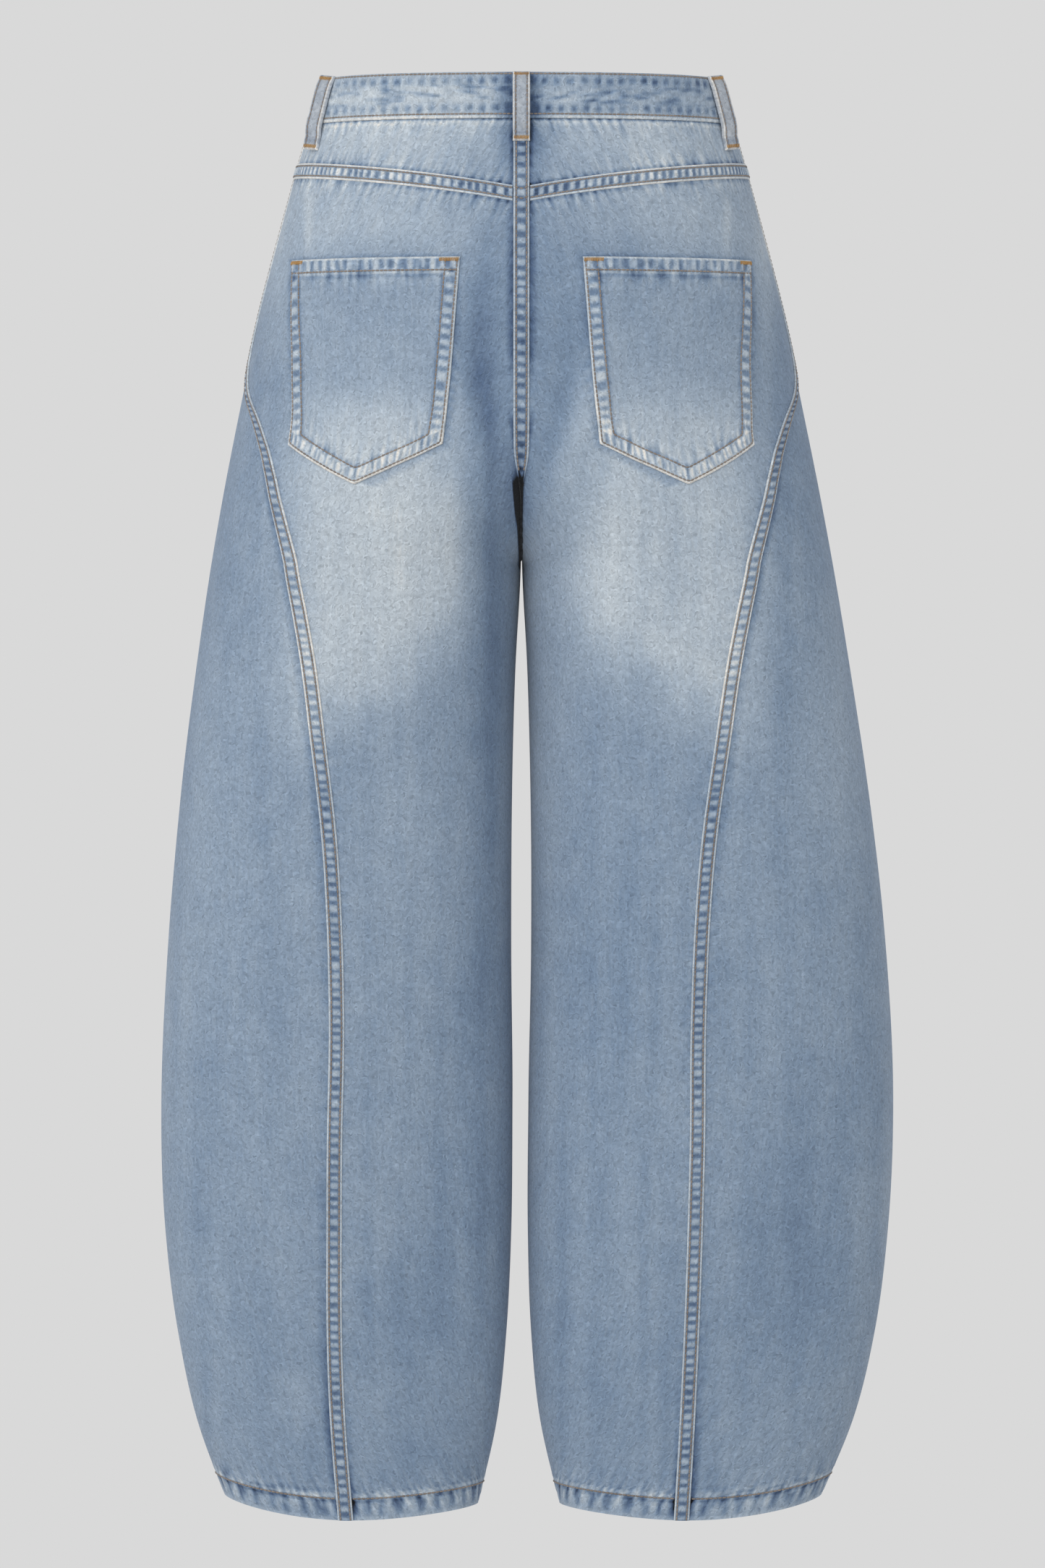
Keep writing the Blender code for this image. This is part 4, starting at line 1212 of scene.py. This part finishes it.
def waist_looks(side, angle, depth, share, step):
    run = waist_run(side, angle, depth)
    # Painted shadow on the waistband beside the back belt loop.
    loop_shadow = ease(np.abs(run), 4, 6) * hump(np.maximum(np.abs(run) - 7, 0), 8)
    crinkle = waist_crinkle(run, depth)
    wash = washed_and_shaded(side, angle, depth) - 0.015 - 0.4 * waist_dimples(run, depth)
    wash = wash + 0.08 * crinkle + 0.2 * np.minimum(crinkle, 0) - 0.3 * loop_shadow
    wash = np.maximum(wash, 0.17) + 0.2 * ease(depth, 29.9, 30.5)
    return Looks(run * MM, -depth * MM, wash, np.minimum(depth, WAIST_TALL - depth) + 9, FAR)


waist_ends = (-waist_turn(-UNDERLAP_REACH), waist_turn(-LAP_REACH))
waistband = lay_wall(
    "denim_waistband",
    np.linspace(*waist_ends, 540),
    WAIST_ROWS,
    waist_place,
    waist_outer,
    lambda side, angle, depth, share, step: BAND_IN - underlap(side, angle, depth),
    waist_looks,
    (denim_face, denim_face),
)
dress(waistband, "waistband_denim", "waistband")

waist_turns = np.linspace(-waist_turn(SINK_FROM), waist_ends[1] - 0.4, 900)
waist_rows = [
    stitch_row(*waist_place(waist_turns, row + 0 * waist_turns), 0.86)
    for row in (WAIST_STITCH_TOP, WAIST_STITCH_BOTTOM)
]
sew("thread_waistband", tan_thread, STITCH_THICK, waist_rows, ["waistband"], "waistband_denim")


# Back pockets
# A patch of denim with a pointed bottom on each back, hemmed at its top and sewn on by two rows of thread
# round its sides and bottom. An ochre bar tack holds each top corner.
POCKET_EDGE_ROW, POCKET_INNER_ROW, POCKET_HEM_ROW, POCKET_TACK = 1.7, 9.7, 9.3, 14.0
POCKET_SHARES = (*np.linspace(0, 0.1, 13), *np.linspace(0.1, 0.9, 58)[1:-1], *np.linspace(0.9, 1, 13))
POCKET_STEPS = (*np.linspace(0, 0.08, 12), *np.linspace(0.08, 0.9, 80)[1:-1], *np.linspace(0.9, 1, 16))


def pocket_place(side):
    def place(share, step):
        depth = POCKET_TOP + (pocket_bottom(share) - POCKET_TOP) * step
        inner, outer = pocket_sides(depth)
        return side, from_centre_back(side, depth, inner + (outer - inner) * share), depth

    return place


def pocket_margins(share, depth):
    """Millimetres from the pocket's top, and from the nearest of its sides and bottom edges."""
    inner, outer = pocket_sides(depth)
    width = outer - inner
    to_side = np.minimum(share, 1 - share) * width
    to_bottom = (pocket_bottom(share) - depth) * math.cos(POCKET_SLOPE)
    return depth - POCKET_TOP, to_side, to_bottom


def pocket_roping(side, angle, depth, share, step):
    """Ridges and hollows between the two rows of stitches round the pocket, and in its hem."""
    to_top, to_side, to_bottom = pocket_margins(share, depth)
    middle = (POCKET_EDGE_ROW + POCKET_INNER_ROW) / 2
    near, far = POCKET_EDGE_ROW + 0.6, POCKET_INNER_ROW - 0.6
    in_side = ease(to_side, near, near + 1) * (1 - ease(to_side, far - 1, far)) * (to_bottom > far)
    in_bottom = ease(to_bottom, near, near + 1) * (1 - ease(to_bottom, far - 1, far)) * (to_side > near)
    in_hem = ease(to_top, 1, 2) * (1 - ease(to_top, POCKET_HEM_ROW - 1.6, POCKET_HEM_ROW - 0.6))
    which = np.where(share < 0.5, 0, 400)
    across = share * 120
    side_rope = rope(depth + which, to_side - middle, 7.8, 0.2, 91)
    bottom_rope = rope(across, to_bottom - middle, 4.6, 0.1, 93)
    hem_rope = rope(across + 200, to_top - 5, 6.6, 0.05, 95)
    in_side = in_side * (1 - in_hem) * (to_top > POCKET_HEM_ROW)
    return in_side * side_rope + in_bottom * bottom_rope + in_hem * hem_rope, in_side + in_bottom + in_hem


def pocket_outer(side, angle, depth, share, step):
    to_top, to_side, to_bottom = pocket_margins(share, depth)
    to_edge = np.minimum(np.minimum(to_top, to_side), to_bottom)
    rounded = round_edge(to_edge, 1.0)
    low = np.minimum(to_side, to_bottom)
    drawn = hump(low - POCKET_EDGE_ROW, 0.8) + hump(low - POCKET_INNER_ROW, 0.8) * (to_top > POCKET_HEM_ROW)
    drawn = drawn + hump(to_top - POCKET_HEM_ROW, 0.8)
    doubled = 0.45 * (1 - ease(low, POCKET_INNER_ROW, POCKET_INNER_ROW + 1.5))
    doubled = np.maximum(doubled, 0.6 * (1 - ease(to_top, POCKET_HEM_ROW, POCKET_HEM_ROW + 1.5)))
    roping, _ = pocket_roping(side, angle, depth, share, step)
    return 0.55 + rounded + doubled - 0.28 * drawn + 0.28 * roping


def pocket_looks(side, angle, depth, share, step):
    to_top, to_side, to_bottom = pocket_margins(share, depth)
    low = np.minimum(to_side, to_bottom)
    to_edge = np.minimum(to_top, low)
    roping, bordered = pocket_roping(side, angle, depth, share, step)
    # Painted shade just inside the inner row of stitches, and under the hem's row painted light close to it
    # with painted shade a little lower.
    painted_edge_shade = hump(low - POCKET_INNER_ROW - 0.8, 1.4) * (to_top > POCKET_HEM_ROW)
    under_hem = to_top - POCKET_HEM_ROW
    painted_edge_shade = painted_edge_shade + (hump(under_hem - 3.4, 1.5) - hump(under_hem - 1.5, 0.8)) * (low > POCKET_INNER_ROW)
    wash = 0.5 * washed_and_shaded(side, angle, depth) + 0.25 + 0.11 * ease(depth, 200, 255)
    wash = wash + 0.18 * roping + 0.02 * bordered - 0.14 * painted_edge_shade + 0.32 * (1 - ease(to_edge, 0.9, 1.5))
    u = side * share * 120 * MM
    level = np.minimum(np.abs(to_top - POCKET_HEM_ROW), np.abs(to_bottom - POCKET_INNER_ROW))
    return Looks(u, -depth * MM, wash, level, np.abs(to_side - POCKET_INNER_ROW))


def pocket_inset(side, inset, top, samples=90):
    """A path round the sides and bottom of a pocket, that far in from its edges."""
    corner = POCKET_CORNER - inset * math.tan(math.pi / 4 - POCKET_SLOPE / 2)
    down = np.linspace(POCKET_TOP + top, corner, samples)
    inner_down, outer_down = pocket_sides(down)
    left_side = (inner_down + inset, down)
    right_side = (outer_down - inset, down)
    inner_end, outer_end = pocket_sides(np.array(POCKET_CORNER))
    at = np.linspace(inner_end + inset, outer_end - inset, samples)
    share = (at - inner_end) / (outer_end - inner_end)
    bottom = (at, pocket_bottom(share) - inset / math.cos(POCKET_SLOPE))
    distance = np.concatenate([left_side[0], bottom[0], right_side[0][::-1]])
    depth = np.concatenate([left_side[1], bottom[1], right_side[1][::-1]])
    return side, from_centre_back(side, depth, distance), depth


for half, word in HALVES:
    pocket = lay_wall(
        f"denim_pocket_{word}",
        POCKET_SHARES,
        POCKET_STEPS,
        pocket_place(half),
        pocket_outer,
        0.35,
        pocket_looks,
        (denim_face, denim_inside),
    )
    dress(pocket, "pocket_denim", f"pocket_{word}")
    hem_depth = np.full(120, POCKET_TOP + POCKET_HEM_ROW)
    inner, outer = pocket_sides(hem_depth)
    hem_angle = from_centre_back(half, hem_depth, inner + (outer - inner) * np.linspace(0.012, 0.988, 120))
    rows = [
        stitch_row(*pocket_inset(half, POCKET_EDGE_ROW, 2), 1.78),
        stitch_row(*pocket_inset(half, POCKET_INNER_ROW, 2), 1.8),
        stitch_row(half, hem_angle, hem_depth, 1.95),
    ]
    sew(f"thread_pocket_{word}", tan_thread, STITCH_THICK, rows, [f"pocket_{word}"], "pocket_denim")
    tack_depth = np.full(20, POCKET_TOP + 2.2)
    inner, outer = pocket_sides(tack_depth)
    inwards = np.linspace(0.6, POCKET_TACK, 20)
    tacks = [
        tack_row(half, from_centre_back(half, tack_depth, distance), tack_depth, 2.4, 3.0)
        for distance in (inner + inwards, outer - inwards)
    ]
    sew(f"tacks_pocket_{word}", ochre_thread, TACK_THICK, tacks, [f"pocket_{word}"], "pocket_denim")


# Belt loops
# Five folded straps of denim, each with two rows of thread, sewn at the rim and below the waistband with ochre
# bar tacks. Between those they stand off for a belt.
LOOP_WIDTH, LOOP_CLOTH, LOOP_BOW, LOOP_END = 11.5, 1.8, 5.4, 48.0
LOOP_RISES, LOOP_FALLS, LOOP_SETTLES = (1, 9.6), (31.7, 43.2), (36, 44)
LOOP_STITCH, LOOP_TACK = 3.7, 2.1

# drift is how many degrees a loop runs round on its way down, bow is how far it stands off for a belt, and
# lean is how far it turns its face to the back
LoopPlace = namedtuple("LoopPlace", "name side degrees drift long bow lean")
LOOPS = (
    LoopPlace("belt_loop_back", LEFT, 180, 0, LOOP_END, LOOP_BOW, 0),
    LoopPlace("belt_loop_left", LEFT, 45, 3.5, 51, 0.9, 0.44),
    LoopPlace("belt_loop_right", RIGHT, 45, 3.5, 51, 0.9, 0.44),
    LoopPlace("belt_loop_front_left", LEFT, -100, 0, LOOP_END, LOOP_BOW, 0),
    LoopPlace("belt_loop_front_right", RIGHT, -100, 0, LOOP_END, LOOP_BOW, 0),
)
LOOP_TONES = (
    Tone(0.0, (44, 54, 74)),
    Tone(0.3, (104, 118, 140)),
    Tone(0.6, (168, 176, 186)),
    Tone(1.0, (238, 234, 227)),
)
denim_loops = dyed_denim("denim_loops", LOOP_TONES)
LOOP_COLUMNS = np.array([0, 0.25, 0.7, 1.2, 1.7, 2.05, 2.6, 3.6, 4.7]) / LOOP_WIDTH
LOOP_COLUMNS = (*LOOP_COLUMNS, 0.5, *(1 - LOOP_COLUMNS[::-1]))


def loop_place(loop):
    def place(share, step):
        depth = step * loop.long
        distance = (share - 0.5) * LOOP_WIDTH
        if loop.degrees == 180:
            side = np.where(distance < 0, RIGHT, LEFT)
            return side, from_centre_back(LEFT, depth, np.abs(distance)), depth
        centre = np.radians(loop.degrees + loop.drift * step)
        return loop.side, beside(loop.side, centre, depth, distance), depth

    return place


def loop_standing(loop):
    """How far off the cloth a loop's inner face stands, down its length."""
    head = BAND_OUT + SEAM_GAP
    foot = 1.7 if loop.degrees == 180 else SEAM_GAP

    def standing(side, angle, depth, share, step):
        settled = head + (foot - head) * ease(depth, *LOOP_SETTLES)
        free = ease(depth, *LOOP_RISES) - ease(depth, *LOOP_FALLS)
        return settled + loop.bow * free + loop.lean * (1 - share) * LOOP_WIDTH

    return standing


def loop_face(side, angle, depth, share, step):
    """The loop's outer face over its inner one: two padded edges, a flatter middle and drawn-in stitches."""
    away = np.abs(share - 0.5) * LOOP_WIDTH
    to_end = np.minimum(step, 1 - step) * LOOP_END
    rounded = round_edge(np.minimum(LOOP_WIDTH / 2 - away, to_end), 0.9)
    padded = 0.3 * hump(away - 4.8, 0.8) - 0.3 * hump(away - LOOP_STITCH, 0.6)
    pressed = hump(to_end - LOOP_TACK, 1.6)
    ripple = 0.12 * uneven(depth + 97 * side, away, 5, 3, 101)
    return 0.5 + (LOOP_CLOTH - 0.6) * rounded + padded - 0.3 * pressed + ripple


def loop_looks(side, angle, depth, share, step):
    away = np.abs(share - 0.5) * LOOP_WIDTH
    patches = uneven(depth + 57 * side, away, 9, 4, 103)
    wash = 0.6 + 0.06 * patches + 0.32 * hump(away - 4.9, 0.5) - 0.22 * hump(away - LOOP_STITCH - 0.2, 0.7)
    wash = wash - 0.12 * hump((1 - step) * LOOP_END - 5.5, 1.5) + 0.3 * ease(step, 0.975, 0.99)
    return Looks((share - 0.5) * LOOP_WIDTH * MM, -depth * MM, wash, FAR, FAR)


for loop in LOOPS:
    place, standing = loop_place(loop), loop_standing(loop)
    strap = lay_wall(
        f"denim_{loop.name}",
        LOOP_COLUMNS,
        np.linspace(0, 1, 64),
        place,
        lambda *here: standing(*here) + loop_face(*here),
        standing,
        loop_looks,
        (denim_loops, denim_loops),
    )
    dress(strap, "loop_denim", loop.name)
    down = np.linspace(0.05, 0.97, 80)
    rows = []
    for row in (-LOOP_STITCH, LOOP_STITCH):
        share = 0.5 + row / LOOP_WIDTH + 0 * down
        at = place(share, down)
        rows.append(stitch_row(*at, standing(*at, share, down) + loop_face(*at, share, down) + 0.12))
    sew(f"thread_{loop.name}", tan_thread, STITCH_THICK, rows, [loop.name], "loop_denim")
    tacks = []
    share = np.linspace(0.06, 0.94, 20)
    for level in (LOOP_TACK / LOOP_END, 1 - LOOP_TACK / LOOP_END):
        step = np.full(20, level)
        at = place(share, step)
        tacks.append(tack_row(*at, standing(*at, share, step) + LOOP_CLOTH - 0.15, 3.2))
    sew(f"tacks_{loop.name}", ochre_thread, TACK_THICK, tacks, [loop.name], "loop_denim")


# Zip
# A closed zip behind the fly: a woven tape with a row of metal teeth down its middle. It is sewn to the two
# fronts, and shows only from inside.
ZIP_WIDTH, ZIP_TOP, ZIP_END, ZIP_OFFSET, TAPE_THICK = 22.0, 36.0, 178.0, 5.0, 0.7
TOOTH_PITCH, TOOTH_WIDE, TOOTH_TALL = 1.6, 5.0, 1.0


def zip_place(share, step):
    depth = ZIP_TOP + (ZIP_END - ZIP_TOP) * step
    distance = ZIP_OFFSET + (share - 0.5) * ZIP_WIDTH
    side = np.where(distance < 0, RIGHT, LEFT)
    return side, -math.pi + np.abs(distance) / per_radian(LEFT, -math.pi, depth), depth


def tape_finish():
    """Woven cotton tape: a fine herringbone in navy."""
    material, tree, shader = new_finish("zip_tape_weave", {"Roughness": 0.85})
    cloth_map = add_node(tree, "ShaderNodeUVMap", {}, uv_map="cloth").outputs[0]
    waves = {"Vector": cloth_map, "Scale": 500.0, "Distortion": 1.0}
    weave = add_node(tree, "ShaderNodeTexWave", waves, wave_type="BANDS", bands_direction="DIAGONAL").outputs[1]
    navy = toned(tree, weave, (Tone(0.0, (58, 72, 98)), Tone(1.0, (88, 104, 132))))
    join_finish(tree, shader, navy, weave, 0.4, 0.0002)
    return material


def brass_finish(name, light, dark, roughness):
    """Aged brass: satin, with darker patches and fine scratches."""
    material, tree, shader = new_finish(name, {"Metallic": 1.0, "Roughness": roughness})
    patches = toned(tree, spot_noise(tree, 420.0, 4.0), (Tone(0.35, dark), Tone(0.65, light)))
    join_finish(tree, shader, patches, spot_noise(tree, 1900.0, 3.0), 0.25, 0.0001)
    return material


zip_inner = -CLOTH - SEAM_GAP
tape = lay_wall(
    "zip_tape",
    np.linspace(0, 1, 12),
    np.linspace(0, 1, 72),
    zip_place,
    zip_inner,
    zip_inner - TAPE_THICK,
    lambda side, angle, depth, share, step: Looks(share * ZIP_WIDTH * MM, -depth * MM, 0.5, FAR, FAR),
    (tape_finish(), tape_finish()),
)
dress(tape, "zip_tape", "zip")

zip_steps = np.linspace(0.02, 0.98, 300)
teeth = tack_row(*zip_place(0.5 + 0 * zip_steps, zip_steps), zip_inner - 0.9, TOOTH_WIDE, TOOTH_PITCH)
aged_brass = brass_finish("aged_brass", (196, 168, 128), (122, 98, 70), 0.36)
sew("zip_teeth", aged_brass, TOOTH_TALL, [teeth], ["zip"], "button_metal")


# Waist button
# A pressed brass button with a raised rim and a shallow dish, riveted through the lapped end of the waistband.
BUTTON_RADIUS, BUTTON_THICK, BUTTON_FROM_EDGE = 8.5, 3.2, 15.0
Turned = namedtuple("Turned", "out up")
BUTTON_PROFILE = (
    Turned(0.0, 0.62),
    Turned(0.12, 0.6),
    Turned(0.3, 0.54),
    Turned(0.5, 0.52),
    Turned(0.66, 0.62),
    Turned(0.74, 0.84),
    Turned(0.82, 0.98),
    Turned(0.9, 0.98),
    Turned(0.97, 0.84),
    Turned(1.0, 0.62),
    Turned(0.98, 0.42),
    Turned(0.9, 0.28),
    Turned(0.6, 0.2),
    Turned(0.4, 0.14),
    Turned(0.38, 0.0),
    Turned(0.0, 0.0),
)
button_depth = np.array([WAISTBAND / 2])
button_angle = -math.pi + (BUTTON_FROM_EDGE - LAP_REACH) / per_radian(LEFT, -math.pi, button_depth)
button_centre = on_cloth(LEFT, button_angle, button_depth, BAND_OUT + SEAM_GAP)[0]
button_normal = outward(LEFT, button_angle, button_depth)[0]
button_side = np.cross((0, 0, 1), button_normal)
button_side /= np.linalg.norm(button_side)
bm = bmesh.new()
outline = [bm.verts.new((BUTTON_RADIUS * at.out * MM, 0, BUTTON_THICK * at.up * MM)) for at in BUTTON_PROFILE]
edges = [bm.edges.new(pair) for pair in zip(outline, outline[1:])]
bmesh.ops.spin(
    bm, geom=outline + edges, axis=(0, 0, 1), cent=(0, 0, 0), angle=2 * math.pi, steps=72, use_merge=True
)
bmesh.ops.remove_doubles(bm, verts=bm.verts[:], dist=1e-6)
bmesh.ops.recalc_face_normals(bm, faces=bm.faces[:])
turned = np.array([vert.co for vert in bm.verts])
axes = np.stack([button_side, np.cross(button_normal, button_side), button_normal])
for vert, point in zip(bm.verts, button_centre + turned @ axes):
    vert.co = point
button_mesh = bpy.data.meshes.new("brass_button")
bm.to_mesh(button_mesh)
bm.free()
button_mesh.materials.append(aged_brass)
button_mesh.shade_smooth()
button = bpy.data.objects.new("brass_button", button_mesh)
garment.objects.link(button)
dress(button, "button_metal", "button")


# Lights, floor and camera
# A pale floor below the hems, even light from all round and a large soft lamp behind the camera.
CAMERA_FAR, CAMERA_HEIGHT, CAMERA_ASIDE = 7.0, -0.486, -0.00075
PICTURE_TALL, SENSOR = 1.084, 36.0
FLOOR_DEPTH, FLOOR_RADIUS = -1.25, 2.8
BACKDROP = paint(217, 217, 217)

world = bpy.data.worlds.new("studio")
world.use_nodes = True
world.node_tree.nodes["Background"].inputs["Color"].default_value = BACKDROP
bpy.context.scene.world = world
bpy.context.scene.view_settings.view_transform = "Standard"
bpy.context.scene.view_settings.look = "None"

bm = bmesh.new()
bmesh.ops.create_circle(bm, cap_ends=True, segments=96, radius=FLOOR_RADIUS)
bmesh.ops.translate(bm, verts=bm.verts[:], vec=(0, 0, FLOOR_DEPTH))
floor_mesh = bpy.data.meshes.new("studio_floor")
bm.to_mesh(floor_mesh)
bm.free()
floor_paint, *_ = new_finish("floor_paint", {"Base Color": paint(225, 225, 225), "Roughness": 0.9})
floor_mesh.materials.append(floor_paint)
studio_floor = bpy.data.objects.new("studio_floor", floor_mesh)
bpy.context.scene.collection.objects.link(studio_floor)

Lamp = namedtuple("Lamp", "name place turn size power")
for lamp in (
    Lamp("key", (2.0, 3.3, 1.0), (math.radians(70), 0, math.radians(149)), 2.6, 50),
    Lamp("front_fill", (0.0, -4.0, 1.0), (math.radians(-68), 0, 0), 2.6, 42),
):
    light = bpy.data.lights.new(lamp.name, "AREA")
    light.size = lamp.size
    light.energy = lamp.power
    holder = bpy.data.objects.new(lamp.name, light)
    holder.location = lamp.place
    holder.rotation_euler = lamp.turn
    bpy.context.scene.collection.objects.link(holder)

lens = bpy.data.cameras.new("photograph")
lens.sensor_fit = "VERTICAL"
lens.sensor_height = SENSOR
lens.lens = SENSOR * CAMERA_FAR / PICTURE_TALL
lens.clip_end = 50
camera = bpy.data.objects.new("photograph", lens)
camera.location = (CAMERA_ASIDE, CAMERA_FAR, CAMERA_HEIGHT)
camera.rotation_euler = (math.radians(90), 0, math.radians(180))
bpy.context.scene.collection.objects.link(camera)
bpy.context.scene.camera = camera
